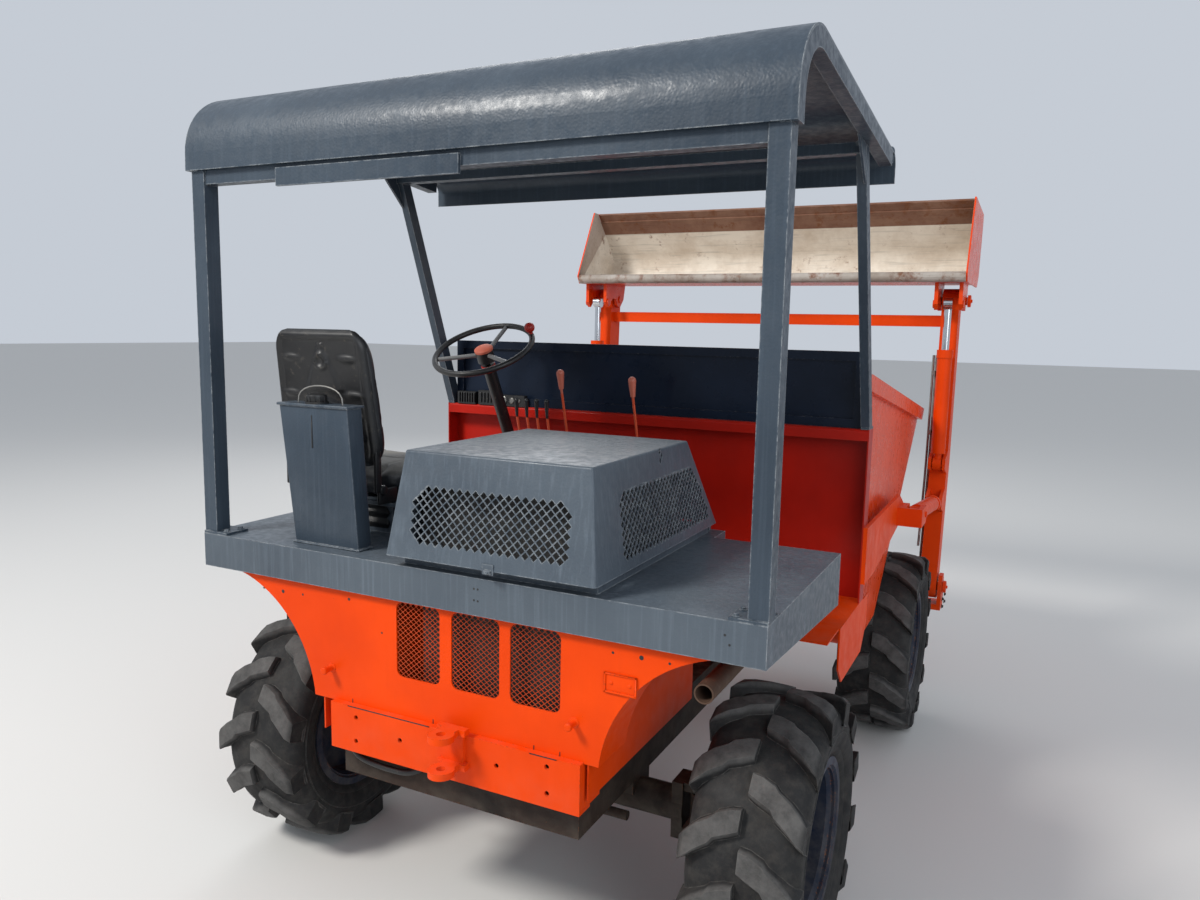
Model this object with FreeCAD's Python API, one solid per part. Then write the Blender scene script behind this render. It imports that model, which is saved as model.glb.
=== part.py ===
import FreeCAD, Part
import math
import os

# Self-loading site dumper: a two-axle machine that is steered by its rear wheels, with a
# front skip and a shovel on two arms that lifts over the front edge and empties into the skip.
# Millimetres. X points to the machine's right, Y to its front, Z up.
# Y is measured from the rear edge of the deck, and the whole model is moved by ORIGIN_Y at the end,
# so that the origin is on the ground under the middle of the machine's length.

# Wheels
TYRE_R = 400.0
CARCASS_R = 374.0
TYRE_W = 316.0
TYRE_SEAT_R = 196.0
TYRE_SEAT_GAP = 0.3
RIM_FLANGE_R = 229.0
RIM_W = 262.0
RIM_WALL = 8.0
DISC_BACK = -34.0
HUB_R = 70.0
HUB_OUT = 48.0
HALF_TRACK = 820.0
REAR_AXLE_Y = 470.0
FRONT_AXLE_Y = 2320.0
AXLE_Z = TYRE_R
LUGS_PER_SIDE = 13
TYRE_SIDES = 14
LUG_HALF_ANGLE = 5.0
LUG_STEP_ANGLE = 5.0
LUG_SWEEP_ANGLE = 15.0
SPINDLE_R = 30.0
FIT = 0.05
SIDE_GAP = 6.0

# Axles and steering
KINGPIN_X = HALF_TRACK - 220.0
KINGPIN_R = 18.0
KNUCKLE_R = 38.0
KNUCKLE_H = 110.0
YOKE_T = 26.0
AXLE_R = 50.0
DIFF_R = 118.0
STEER_CYL_Y = 330.0
STEER_CYL_R = 30.0

# Chassis
RAIL_IN = 330.0
RAIL_W = 70.0
RAIL_Z0 = 460.0
RAIL_Z1 = 600.0
RAIL_WALL = 8.0
RAIL_Y0 = 62.0
RAIL_Y1 = 2860.0
CROSS_W = 80.0
FRONT_BEAM_Z1 = 580.0

# Deck and rear body
DECK_HALF = 900.0
DECK_Y1 = 774.0
DECK_Z = 1148.0
DECK_T = 6.0
FASCIA_H = 103.0
FASCIA_FRONT_H = 160.0
SHEET = 5.0
PANEL_Y = 20.0
PANEL_TOP_HALF = DECK_HALF - 104.0
PANEL_LOW_HALF = DECK_HALF - 426.0
PANEL_LOW_Z = 700.0
ARCH_X = DECK_HALF - 38.0
ARCH_Z = 660.0
FLANGE_DEPTH = 165.0
BAR_X0 = -395.0
BAR_X1 = 432.0
BAR_Z0 = 565.0
BAR_DEPTH = 60.0
BAR_HOLES = [(-301.0, 672.0), (-302.0, 600.0), (-142.0, 639.0), (181.0, 642.0), (335.0, 677.0), (336.0, 604.0)]  # x, z
BAR_HOLE_R = 7.0
WINDOW_Z0 = 818.0
WINDOW_Z1 = 1036.0
WINDOW_R = 22.0
WINDOWS = [(-166.0, -17.0), (21.0, 176.0), (209.0, 361.0)]  # x0, x1
BAY_HALF = WINDOWS[-1][1] + 79.0
BAY_WEB_Z0 = 1000.0
MESH_T = 3.0
MESH_LAP = 10.0

# Tow hitch
HITCH_X = 48.0
HITCH_W = 92.0
HITCH_REACH = 100.0
HITCH_PIN_Y = -64.0
HITCH_PIN_R = 13.0
HITCH_T = 18.0
HITCH_TOP_Z = 728.0
HITCH_LOW_Z = 612.0

# Engine and its hood
HOOD_X0 = -164.0
HOOD_X1 = 480.0
HOOD_Y0 = -26.0
HOOD_Y1 = 852.0
HOOD_TOP_X0 = -128.0
HOOD_TOP_X1 = 444.0
HOOD_TOP_Y0 = 19.0
HOOD_TOP_Y1 = 656.0
HOOD_Z = 1178.0
HOOD_TOP_Z = 1467.0
HOOD_T = 4.0
HOOD_WINDOW_Z0 = 1225.0
HOOD_WINDOW_Z1 = 1345.0
HINGE_R = 10.0
HINGE_PIN_R = 5.0
HINGE_Y = HOOD_Y1 + 16.0
COAMING_IN = 22.0
ENGINE_X0 = HOOD_TOP_X0 + 18.0
ENGINE_X1 = BAY_HALF - 30.0
ENGINE_Y0 = 70.0
ENGINE_Y1 = 700.0
ENGINE_Z1 = 1380.0
ENGINE_FEET_Y = (230.0, 570.0)
EXHAUST_R = 25.0
EXHAUST_X = BAY_HALF + 310.0
SILENCER_R = 62.0
SILENCER_L = 280.0
SILENCER_Y = 410.0
EXHAUST_Z = 955.0

# Footwell and bulkhead
FLOOR_Z = 860.0
FLOOR_HALF = DECK_HALF - 25.0
CROSS_PLATE_Y = 1285.0
CROSS_PLATE_Z = 780.0
SKIRT_Z0 = 660.0
SKIRT_Y0 = 940.0
SKIRT_Y1 = 1420.0
WALL_Y0 = 1250.0
WALL_Y1 = 1320.0
WALL_HALF = DECK_HALF - 20.0
FRONT_BEAM_HALF = WALL_HALF + 4.0
WALL_TOP = 1475.0
GUARD_TOP = 1740.0
GUARD_Y = 1286.0

# Canopy
POST = 50.0
POST_X = DECK_HALF - POST / 2.0
REAR_POST_TOP = 2330.0
POST_Y = 31.0
GUARD_HALF = POST_X - POST / 2.0
BEAM_TOP = 2200.0
EXTRA_BEAM_X0 = -560.0
EXTRA_BEAM_X1 = 60.0
MID_BEAM_Z0 = 2335.0
MID_BEAM_Z1 = 2368.0
FRONT_FOOT_Y = 1275.0
FRONT_TOP_Y = 930.0
ROOF_HALF = DECK_HALF + 15.0
ROOF_T = 4.0
ROOF_REAR_Y = -4.0
ROOF_REAR_Z = 2240.0
ROOF_TOP_Z = 2500.0
ROOF_FRONT_Y = 1236.0
ROOF_FRONT_Z = 2350.0
ROOF_REAR_R = 190.0
ROOF_FRONT_R = 42.0

# Operator's place
SEAT_W = 440.0
SEAT_X = SEAT_W / 2.0 + 112.0 - DECK_HALF
SEAT_Y0 = 270.0
SEAT_Y1 = 690.0
SEAT_BASE_Z = 1250.0
CUSHION_T = 120.0
BACK_Y = 150.0
BACK_TOP = 1790.0
TANK_X0 = 300.0 - DECK_HALF
TANK_X1 = -345.0
TANK_Y0 = 20.0
TANK_Y1 = 125.0
TANK_TOP = 1570.0
WHEEL_X = -520.0
WHEEL_Y = 980.0
WHEEL_Z = 1715.0
WHEEL_R = 190.0
WHEEL_TUBE = 11.0
WHEEL_TILT = 28.0
WHEEL_BOSS = 60.0
COLUMN_R = 24.0
DASH_BOXES = [(50.0, 140.0, 52.0), (155.0, 240.0, 60.0), (255.0, 380.0, 46.0)]  # x from the left edge, height
CONSOLE_X0 = -460.0
CONSOLE_X1 = 130.0
CONSOLE_Y0 = 1060.0
CONSOLE_Z1 = 1330.0
LEVERS = [  # x, foot y, lean back, height, knob radius
    (-430.0, 1120.0, 40.0, 190.0, 9.0),
    (-385.0, 1120.0, 40.0, 190.0, 9.0),
    (-340.0, 1120.0, 40.0, 190.0, 9.0),
    (-295.0, 1120.0, 40.0, 190.0, 9.0),
    (-245.0, 1170.0, 70.0, 300.0, 15.0),
    (55.0, 1170.0, 70.0, 285.0, 15.0),
]

# Skip
SKIP_HALF = DECK_HALF - 62.0
SKIP_T = 6.0
SKIP_RIM = 22.0
SKIP_RIM_H = 60.0
SKIP_PIVOT_Y = 2300.0
SKIP_PIVOT_Z = 640.0
SKIP_REAR_TOP = (1372.0, 1660.0)
SKIP_REAR_LOW = (1405.0, 630.0)
SKIP_FLOOR_END = (1850.0, 642.0)
SKIP_LIP = (2900.0, 1430.0)
SKIP_EAR_X0 = 345.0
SKIP_EAR_X1 = 380.0
SKIP_PIN_R = 15.0
SKIP_EAR_R = 34.0

# Lift arms
ARM_X = DECK_HALF + 50.0
ARM_W = 80.0
ARM_DEPTH = 120.0
ARM_PIVOT = (2800.0, 550.0)
ARM_BEND = (2920.0, 1170.0)
ARM_TIP = (2955.0, 1970.0)
ARM_PIN_R = 20.0
ARM_EYE_R = 60.0
CROSSBAR = (2955.0, 1870.0)
CROSSBAR_SIZE = 56.0
EAR_T = 18.0
EAR_GAP = 7.0

# Bucket
BUCKET_HALF = ARM_X + ARM_W / 2.0 + EAR_GAP + EAR_T + 20.0
BUCKET_T = 8.0
BUCKET_LIP = (2720.0, 2053.0)
BUCKET_HEEL = (3330.0, 2053.0)
BUCKET_EDGE = (2975.0, 2424.0)
BUCKET_HEEL_R = 115.0
BUCKET_FRONT_Y = 3420.0
LIP_TUBE_R = 24.0
CROWD_PIN = (2800.0, 1950.0)

# Cylinders: base y and z, rod eye y and z, barrel radius, rod radius, barrel length, rod length
CYL_EYE_R = 30.0
CYL_EYE_W = 40.0
CYL_NECK = 52.0
CYL_END = 10.0
CYL_PIN_R = 12.0
LIFT_BASE = (2050.0, 1050.0)
LIFT_EYE = (2755.0, 980.0)
LIFT_SIZES = (35.0, 18.0, 665.0, 643.0)
CROWD_BASE = (2790.0, 1170.0)
CROWD_SIZES = (34.0, 17.0, 560.0, 580.0)
TIP_BASE = (1300.0, 380.0)
TIP_EYE = (2100.0, 680.0)
TIP_SIZES = (38.0, 18.0, 600.0, 700.0)

ORIGIN_Y = (BUCKET_FRONT_Y - HITCH_REACH) / 2.0

X_AXIS = FreeCAD.Vector(1, 0, 0)
Y_AXIS = FreeCAD.Vector(0, 1, 0)
Z_AXIS = FreeCAD.Vector(0, 0, 1)


# Helpers
def vec(x, y, z):
    return FreeCAD.Vector(x, y, z)


def box(x0, x1, y0, y1, z0, z1):
    return Part.makeBox(x1 - x0, y1 - y0, z1 - z0, vec(x0, y0, z0))


def rod(x0, x1, y, z, r):
    return Part.makeCylinder(r, x1 - x0, vec(x0, y, z), X_AXIS)


def pin(x, y, z0, z1, r):
    return Part.makeCylinder(r, z1 - z0, vec(x, y, z0), Z_AXIS)


def bar_between(start, end, r):
    a = vec(*start)
    b = vec(*end)
    return Part.makeCylinder(r, (b - a).Length, a, b - a)


def union(first, *others):
    whole = first
    for other in others:
        whole = whole.fuse(other)
    return whole.removeSplitter()


def mirrored(shape):
    return shape.mirror(vec(0, 0, 0), X_AXIS)


def pair(shape):
    return [shape, mirrored(shape)]


def side_plate(points, x0, x1):
    # a flat plate whose outline is given in Y and Z, from x0 to x1
    wire = Part.makePolygon([vec(x0, y, z) for y, z in points + points[:1]])
    return Part.Face(wire).extrude(vec(x1 - x0, 0, 0))


def front_plate(points, y0, y1):
    # a flat plate whose outline is given in X and Z, from y0 to y1
    wire = Part.makePolygon([vec(x, y0, z) for x, z in points + points[:1]])
    return Part.Face(wire).extrude(vec(0, y1 - y0, 0))


def unit(a, b):
    length = math.hypot(b[0] - a[0], b[1] - a[1])
    return ((b[0] - a[0]) / length, (b[1] - a[1]) / length)


def slide_on(a, b, distance):
    u = unit(a, b)
    return (a[0] + u[0] * distance, a[1] + u[1] * distance)


def offset_path(points, distance):
    # the same path moved to its left by a distance, with mitred corners
    moved = []
    last = len(points) - 1
    for index, point in enumerate(points):
        before = unit(points[max(index - 1, 0)], points[max(index, 1)])
        after = unit(points[min(index, last - 1)], points[min(index + 1, last)])
        normal = (-before[1] - after[1], before[0] + after[0])
        scale = 2.0 * distance / (normal[0] ** 2 + normal[1] ** 2)
        moved.append((point[0] + normal[0] * scale, point[1] + normal[1] * scale))
    return moved


def turn_sign(a, b, c):
    u = unit(a, b)
    v = unit(b, c)
    return 1.0 if u[0] * v[1] - u[1] * v[0] > 0 else -1.0


def path_edges(points, radii, x):
    # lines joined by tangent arcs, one radius for each inner corner
    edges = []
    start = points[0]
    for index in range(1, len(points) - 1):
        a, b, c = points[index - 1], points[index], points[index + 1]
        u = unit(a, b)
        v = unit(b, c)
        turn = math.acos(max(-1.0, min(1.0, u[0] * v[0] + u[1] * v[1])))
        radius = radii[index - 1]
        back = radius * math.tan(turn / 2.0)
        p = (b[0] - u[0] * back, b[1] - u[1] * back)
        q = (b[0] + v[0] * back, b[1] + v[1] * back)
        bulge = radius / math.cos(turn / 2.0) - radius
        mid = unit((p[0] + q[0], p[1] + q[1]), (2 * b[0], 2 * b[1]))
        m = (b[0] - mid[0] * bulge, b[1] - mid[1] * bulge)
        edges.append(Part.makeLine(vec(x, *start), vec(x, *p)))
        edges.append(Part.Arc(vec(x, *p), vec(x, *m), vec(x, *q)).toShape())
        start = q
    edges.append(Part.makeLine(vec(x, *start), vec(x, *points[-1])))
    return edges


def bent_sheet(points, radii, thickness, x0, x1):
    # a folded sheet: its path in Y and Z, thickened to the left and extruded along X
    inner = offset_path(points, thickness)
    inner_radii = []
    for index in range(1, len(points) - 1):
        sign = turn_sign(points[index - 1], points[index], points[index + 1])
        inner_radii.append(radii[index - 1] - sign * thickness)
    edges = path_edges(points, radii, x0) + path_edges(inner, inner_radii, x0)
    edges.append(Part.makeLine(vec(x0, *points[0]), vec(x0, *inner[0])))
    edges.append(Part.makeLine(vec(x0, *points[-1]), vec(x0, *inner[-1])))
    wire = Part.Wire(Part.__sortEdges__(edges))
    return Part.Face(wire).extrude(vec(x1 - x0, 0, 0))


def rounded_block(x0, x1, y0, y1, z0, z1, r):
    block = box(x0, x1, y0, y1, z0, z1)
    return block.makeFillet(r, block.Edges)


def rounded_rect(x0, x1, z0, z1, r, y):
    # a closed wire with rounded corners in the plane y
    corners = [(x1 - r, z1 - r, 0), (x0 + r, z1 - r, 90), (x0 + r, z0 + r, 180), (x1 - r, z0 + r, 270)]
    edges = []
    ends = []
    for cx, cz, angle in corners:
        trio = []
        for step in (0, 45, 90):
            a = math.radians(angle + step)
            trio.append(vec(cx + r * math.cos(a), y, cz + r * math.sin(a)))
        edges.append(Part.Arc(*trio).toShape())
        ends.append((trio[0], trio[2]))
    for index in range(4):
        edges.append(Part.makeLine(ends[index][1], ends[(index + 1) % 4][0]))
    return Part.Wire(Part.__sortEdges__(edges))


def diamond_sheet(corners, pitch_u, pitch_v, strand, thickness):
    # expanded metal: a flat four-cornered sheet pierced by rows of diamonds
    origin, along, up = corners
    u_axis = vec(*along) - vec(*origin)
    v_axis = vec(*up) - vec(*origin)
    width = u_axis.Length
    height = v_axis.Length
    u_axis.normalize()
    v_axis.normalize()

    def at(u, v):
        return vec(*origin) + u_axis * u + v_axis * v

    outline = Part.makePolygon([at(0, 0), at(width, 0), at(width, height), at(0, height), at(0, 0)])
    wires = [outline]
    half_u = pitch_u / 2.0 - strand
    half_v = half_u * pitch_v / pitch_u
    rows = int(height / (pitch_v / 2.0)) - 1
    columns = int(width / pitch_u)
    side = (width - columns * pitch_u) / 2.0
    for row in range(1, rows + 1):
        v = row * height / (rows + 1)
        shift = 0.5 if row % 2 else 1.0
        for column in range(columns if row % 2 else columns - 1):
            u = side + (column + shift) * pitch_u
            hole = [at(u - half_u, v), at(u, v - half_v), at(u + half_u, v), at(u, v + half_v)]
            wires.append(Part.makePolygon(hole + hole[:1]))
    return Part.Face(wires).extrude(u_axis.cross(v_axis) * thickness)


NODES = {}


def save(name, *solids):
    NODES[name] = list(solids)


# Wheels
def lug(side, angle):
    # one stepped bar of the tread, from the middle of the tyre to its shoulder
    stations = [  # x, angle, radius at the root
        (side * 6.0, angle, CARCASS_R - 12.0),
        (side * 78.0, angle + LUG_STEP_ANGLE, CARCASS_R - 12.0),
        (side * TYRE_W / 2.0, angle + LUG_SWEEP_ANGLE, CARCASS_R - 58.0),
    ]
    rings = []
    for x, middle, root in stations:
        ring = []
        for r, offset in ((TYRE_R, -1), (TYRE_R, 1), (root, 1), (root, -1)):
            a = math.radians(middle + offset * LUG_HALF_ANGLE)
            ring.append(vec(x, r * math.cos(a), r * math.sin(a)))
        rings.append(ring)
    faces = []
    for near, far in zip(rings[:-1], rings[1:]):
        for k in range(4):
            n = (k + 1) % 4
            faces.append(Part.Face(Part.makePolygon([near[k], near[n], far[n], near[k]])))
            faces.append(Part.Face(Part.makePolygon([near[k], far[n], far[k], near[k]])))
    for ring in (rings[0], rings[-1]):
        faces.append(Part.Face(Part.makePolygon([ring[0], ring[1], ring[2], ring[0]])))
        faces.append(Part.Face(Part.makePolygon([ring[0], ring[2], ring[3], ring[0]])))
    solid = Part.Solid(Part.Shell(faces))
    if solid.Volume < 0:
        solid.reverse()
    return solid


def faceted_ring(profile, sides):
    # a closed ring of flat facets around the X axis
    faces = []
    for index in range(sides):
        a = 2.0 * math.pi * index / sides
        b = 2.0 * math.pi * (index + 1) / sides
        for (x0, r0), (x1, r1) in zip(profile, profile[1:] + profile[:1]):
            corners = [
                vec(x0, r0 * math.cos(a), r0 * math.sin(a)), vec(x1, r1 * math.cos(a), r1 * math.sin(a)),
                vec(x1, r1 * math.cos(b), r1 * math.sin(b)), vec(x0, r0 * math.cos(b), r0 * math.sin(b)),
            ]
            faces.append(Part.Face(Part.makePolygon(corners + corners[:1])))
    solid = Part.Solid(Part.Shell(faces))
    if solid.Volume < 0:
        solid.reverse()
    return solid


def make_tyre():
    half = TYRE_W / 2.0
    seat = TYRE_SEAT_R + TYRE_SEAT_GAP
    bead = RIM_W / 2.0 - RIM_WALL - 1.0
    profile = [  # x, r
        (-bead, seat), (-bead, RIM_FLANGE_R + 12.0), (-half + 8.0, CARCASS_R - 50.0),
        (-half + 46.0, CARCASS_R), (half - 46.0, CARCASS_R), (half - 8.0, CARCASS_R - 50.0),
        (bead, RIM_FLANGE_R + 12.0), (bead, seat),
    ]
    carcass = faceted_ring(profile, TYRE_SIDES)
    pitch = 360.0 / LUGS_PER_SIDE
    lugs = []
    for index in range(LUGS_PER_SIDE):
        lugs.append(lug(1.0, index * pitch - 90.0 + LUG_HALF_ANGLE))
        lugs.append(lug(-1.0, (index + 0.5) * pitch - 90.0 + LUG_HALF_ANGLE))
    return carcass.multiFuse(lugs).removeSplitter()


def make_rim():
    half = RIM_W / 2.0
    inner = TYRE_SEAT_R - RIM_WALL
    disc_front = DISC_BACK + RIM_WALL
    profile = [  # x, r
        (-half, RIM_FLANGE_R), (-half, inner + 18.0), (-half + 30.0, inner), (DISC_BACK - 8.0, inner),
        (DISC_BACK - 8.0, HUB_R + 40.0), (DISC_BACK, HUB_R), (-half + 20.0, HUB_R), (-half + 20.0, 0.0),
        (HUB_OUT, 0.0), (HUB_OUT, 46.0), (HUB_OUT - 12.0, HUB_R - 8.0), (disc_front, HUB_R),
        (disc_front - 8.0, HUB_R + 44.0), (disc_front - 8.0, inner - 22.0), (disc_front + 30.0, inner),
        (half - 30.0, inner), (half, inner + 18.0), (half, RIM_FLANGE_R),
        (half - RIM_WALL, RIM_FLANGE_R), (half - RIM_WALL, TYRE_SEAT_R), (-half + RIM_WALL, TYRE_SEAT_R),
        (-half + RIM_WALL, RIM_FLANGE_R),
    ]
    wire = Part.makePolygon([vec(x, r, 0) for x, r in profile + profile[:1]])
    solid = Part.Face(wire).revolve(vec(0, 0, 0), X_AXIS, 360)
    bore = rod(-half + 20.0 - 1.0, SIDE_GAP, 0, 0, SPINDLE_R + FIT)
    return solid.cut(bore)


def place_wheel(name, x, y):
    outward = 1.0 if x > 0 else -1.0
    for kind, shape in (("tyre_" + name, TYRE), ("rim_" + name, RIM)):
        copy = shape.copy()
        if outward < 0:
            copy = copy.mirror(vec(0, 0, 0), X_AXIS)
        copy.translate(vec(x, y, AXLE_Z))
        save(kind, copy)


TYRE = make_tyre()
RIM = make_rim()
for wheel_name, wheel_x, wheel_y in (
    ("rear_left", -HALF_TRACK, REAR_AXLE_Y),
    ("rear_right", HALF_TRACK, REAR_AXLE_Y),
    ("front_left", -HALF_TRACK, FRONT_AXLE_Y),
    ("front_right", HALF_TRACK, FRONT_AXLE_Y),
):
    place_wheel(wheel_name, wheel_x, wheel_y)


# Axles, knuckles and the steering cylinder
def make_axle(y, end_x):
    tube = rod(-end_x, end_x, y, AXLE_Z, AXLE_R)
    drum = rod(-78.0, 78.0, y, AXLE_Z, DIFF_R - 40.0)
    cover = Part.makeSphere(DIFF_R, vec(0, y, AXLE_Z)).common(
        box(-70.0, 70.0, y - DIFF_R, y + DIFF_R, AXLE_Z - DIFF_R, AXLE_Z + DIFF_R))
    cones = []
    for side in (-1, 1):
        cones.append(Part.makeCone(78.0, AXLE_R, 120.0, vec(side * 60.0, y, AXLE_Z), vec(side, 0, 0)))
    pads = []
    for side in (-1, 1):
        x = side * (RAIL_IN + RAIL_W / 2.0)
        pads.append(box(x - 35.0, x + 35.0, y - 60.0, y + 60.0, AXLE_Z + 20.0, RAIL_Z0))
    return tube, drum, cover, cones, pads


yoke_z = KNUCKLE_H / 2.0 + SIDE_GAP
yoke_end = KINGPIN_X - KNUCKLE_R - 10.0
tube, drum, cover, cones, pads = make_axle(REAR_AXLE_Y, yoke_end)
yokes = []
for side in (-1, 1):
    x0 = side * (yoke_end - 34.0)
    x1 = side * yoke_end
    low, high = min(x0, x1), max(x0, x1)
    yokes.append(box(low, high, REAR_AXLE_Y - 45, REAR_AXLE_Y + 45,
                     AXLE_Z - yoke_z - YOKE_T, AXLE_Z + yoke_z + YOKE_T))
    for level in (AXLE_Z - yoke_z - YOKE_T, AXLE_Z + yoke_z):
        tongue = box(min(x0, side * KINGPIN_X), max(x0, side * KINGPIN_X),
                     REAR_AXLE_Y - 36, REAR_AXLE_Y + 36, level, level + YOKE_T)
        tongue = tongue.fuse(pin(side * KINGPIN_X, REAR_AXLE_Y, level, level + YOKE_T, 36.0))
        yokes.append(tongue)
cyl_brackets = []
for side in (-1, 1):
    cyl_brackets.append(box(side * 180.0 - 10.0, side * 180.0 + 10.0, STEER_CYL_Y, REAR_AXLE_Y, AXLE_Z - 28, AXLE_Z + 28))
rear_axle = union(tube, *cones, drum, cover, *pads, *yokes, *cyl_brackets)
for side in (-1, 1):
    rear_axle = rear_axle.cut(pin(side * KINGPIN_X, REAR_AXLE_Y, AXLE_Z - 200, AXLE_Z + 200, KINGPIN_R + FIT))
steer_barrel = rod(-250.0, 250.0, STEER_CYL_Y, AXLE_Z, STEER_CYL_R)
rear_axle = rear_axle.cut(rod(-251.0, 251.0, STEER_CYL_Y, AXLE_Z, STEER_CYL_R))
save("rear_axle", rear_axle)
save("steering_cylinder", union(steer_barrel, rod(-420.0, 420.0, STEER_CYL_Y, AXLE_Z, 14.0)))

tube, drum, cover, cones, pads = make_axle(FRONT_AXLE_Y, HALF_TRACK - RIM_W / 2.0 - SIDE_GAP)
spindles = rod(-HALF_TRACK, HALF_TRACK, FRONT_AXLE_Y, AXLE_Z, SPINDLE_R)
save("front_axle", union(tube, drum, cover, spindles, *cones, *pads))

knuckle_top = yoke_z + YOKE_T + 8.0
knuckle_parts = [
    pin(KINGPIN_X, REAR_AXLE_Y, AXLE_Z - knuckle_top, AXLE_Z + knuckle_top, KINGPIN_R),
    pin(KINGPIN_X, REAR_AXLE_Y, AXLE_Z - KNUCKLE_H / 2.0, AXLE_Z + KNUCKLE_H / 2.0, KNUCKLE_R),
    rod(KINGPIN_X, HALF_TRACK, REAR_AXLE_Y, AXLE_Z, SPINDLE_R),
    side_plate([(REAR_AXLE_Y, AXLE_Z - 20), (REAR_AXLE_Y, AXLE_Z + 20), (STEER_CYL_Y - 5, AXLE_Z + 12),
                (STEER_CYL_Y - 5, AXLE_Z - 12)], KINGPIN_X - 10, KINGPIN_X + 10),
]
knuckle = union(*knuckle_parts)
save("knuckle_right", knuckle)
save("knuckle_left", mirrored(knuckle))


# Chassis: two box rails, cross members and the wide front beam that carries the arms
def make_rail(side):
    outer = box(RAIL_IN, RAIL_IN + RAIL_W, RAIL_Y0, RAIL_Y1, RAIL_Z0, RAIL_Z1)
    hollow = box(RAIL_IN - 1.0, RAIL_IN + RAIL_W - RAIL_WALL, RAIL_Y0 - 1.0, RAIL_Y1 + 1.0,
                 RAIL_Z0 + RAIL_WALL, RAIL_Z1 - RAIL_WALL)
    rail = outer.cut(hollow)
    return rail if side > 0 else mirrored(rail)


def skip_lug(x0, x1):
    y, z = SKIP_PIVOT_Y, SKIP_PIVOT_Z
    plate = side_plate([(y - 60, RAIL_Z1 - 2), (y - 34, z), (y + 34, z), (y + 60, RAIL_Z1 - 2)], x0, x1)
    return plate.fuse(rod(x0, x1, y, z, SKIP_EAR_R))


cross_z0 = RAIL_Z0 + 20.0
members = []
for y in (REAR_AXLE_Y + 280.0, TIP_BASE[0] - CROSS_W / 2.0):
    members.append(box(-RAIL_IN - RAIL_W + 2, RAIL_IN + RAIL_W - 2, y, y + CROSS_W, cross_z0, RAIL_Z1 - 20))
front_beam = box(-FRONT_BEAM_HALF, FRONT_BEAM_HALF, RAIL_Y1 - 118.0, RAIL_Y1, RAIL_Z0, FRONT_BEAM_Z1)
lugs = []
for side in (-1, 1):
    for x0, x1 in ((RAIL_IN, SKIP_EAR_X0 - 5.0), (SKIP_EAR_X1 + 5.0, RAIL_IN + RAIL_W)):
        lug_plate = skip_lug(x0, x1)
        lugs.append(lug_plate if side > 0 else mirrored(lug_plate))
tip_lugs = []
for side in (-1, 1):
    x0 = side * (CYL_EYE_W / 2.0 + 5.0)
    x1 = side * (CYL_EYE_W / 2.0 + 20.0)
    plate = side_plate([(TIP_BASE[0] - 38, cross_z0 + 2), (TIP_BASE[0] - 26, TIP_BASE[1] - 10),
                        (TIP_BASE[0] + 26, TIP_BASE[1] - 10), (TIP_BASE[0] + 38, cross_z0 + 2)],
                       min(x0, x1), max(x0, x1))
    tip_lugs.append(plate.fuse(rod(min(x0, x1), max(x0, x1), TIP_BASE[0], TIP_BASE[1], 28.0)))
tip_pin = rod(-CYL_EYE_W / 2.0 - 26.0, CYL_EYE_W / 2.0 + 26.0, TIP_BASE[0], TIP_BASE[1], CYL_PIN_R)
rear_cross = box(-RAIL_IN - RAIL_W, RAIL_IN + RAIL_W, RAIL_Y0, RAIL_Y0 + 40.0, RAIL_Z0, RAIL_Z1)
chassis = union(make_rail(1), make_rail(-1), front_beam, rear_cross, tip_pin, *members, *lugs, *tip_lugs)
for side in (-1, 1):
    chassis = chassis.cut(rod(min(side * 320.0, side * 420.0), max(side * 320.0, side * 420.0),
                              SKIP_PIVOT_Y, SKIP_PIVOT_Z, SKIP_PIN_R + FIT))
save("chassis_frame", chassis)


# Arm and cylinder brackets on the chassis
def make_arm_brackets():
    y, z = ARM_PIVOT
    inner_x0 = ARM_X - ARM_W / 2.0 - EAR_GAP - EAR_T
    inner_x1 = inner_x0 + EAR_T
    outer_x0 = ARM_X + ARM_W / 2.0 + EAR_GAP
    outer_x1 = outer_x0 + EAR_T
    outline = [(y - 56, RAIL_Z0 - 20), (y - 56, z + 20), (y - 30, z + 62), (y + 30, z + 62), (y + 58, z + 20),
               (y + 58, RAIL_Z0 - 20)]
    pivot = union(
        side_plate(outline, inner_x0, inner_x1),
        side_plate(outline, outer_x0, outer_x1),
        box(inner_x1 - 1, outer_x0 + 1, y - 56, y + 58, RAIL_Z0 - 20, RAIL_Z0 + 8),
        rod(inner_x0 - 1, outer_x1 + 8, y, z, ARM_PIN_R))
    y, z = LIFT_BASE
    ear_in = ARM_X - CYL_EYE_W / 2.0 - 5.0
    ear_out = ARM_X + CYL_EYE_W / 2.0 + 5.0
    beam = [(WALL_Y0, z + 82), (WALL_Y0, z - 120), (WALL_Y1 + 120, z - 120), (y - 60, z - 45), (y + 42, z - 40),
            (y + 42, z + 38), (y - 60, z + 82)]
    ear = [(y - 112, z - 38), (y + 20, z - 38), (y + 40, z), (y + 20, z + 38), (y - 112, z + 38)]
    base = union(
        side_plate(beam, WALL_HALF, WALL_HALF + 14.0),
        side_plate(ear, WALL_HALF + 13.0, ear_in),
        side_plate(ear, ear_out, ear_out + EAR_T),
        box(ear_in - 1, ear_out + 1, y - 112, y - 92, z - 38, z + 38),
        rod(ear_in - 1, ear_out + EAR_T + 6, y, z, CYL_PIN_R))
    return pivot, base


arm_pivots, lift_bases = make_arm_brackets()
save("arm_brackets", *pair(arm_pivots), *pair(lift_bases))


# Rear panel: a sheet with two wheel-arch edges, folded flanges, three windows and a lower bar
def arch_point(radius, angle):
    return (ARCH_X + radius * math.cos(math.radians(angle)), ARCH_Z + radius * math.sin(math.radians(angle)))


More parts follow.
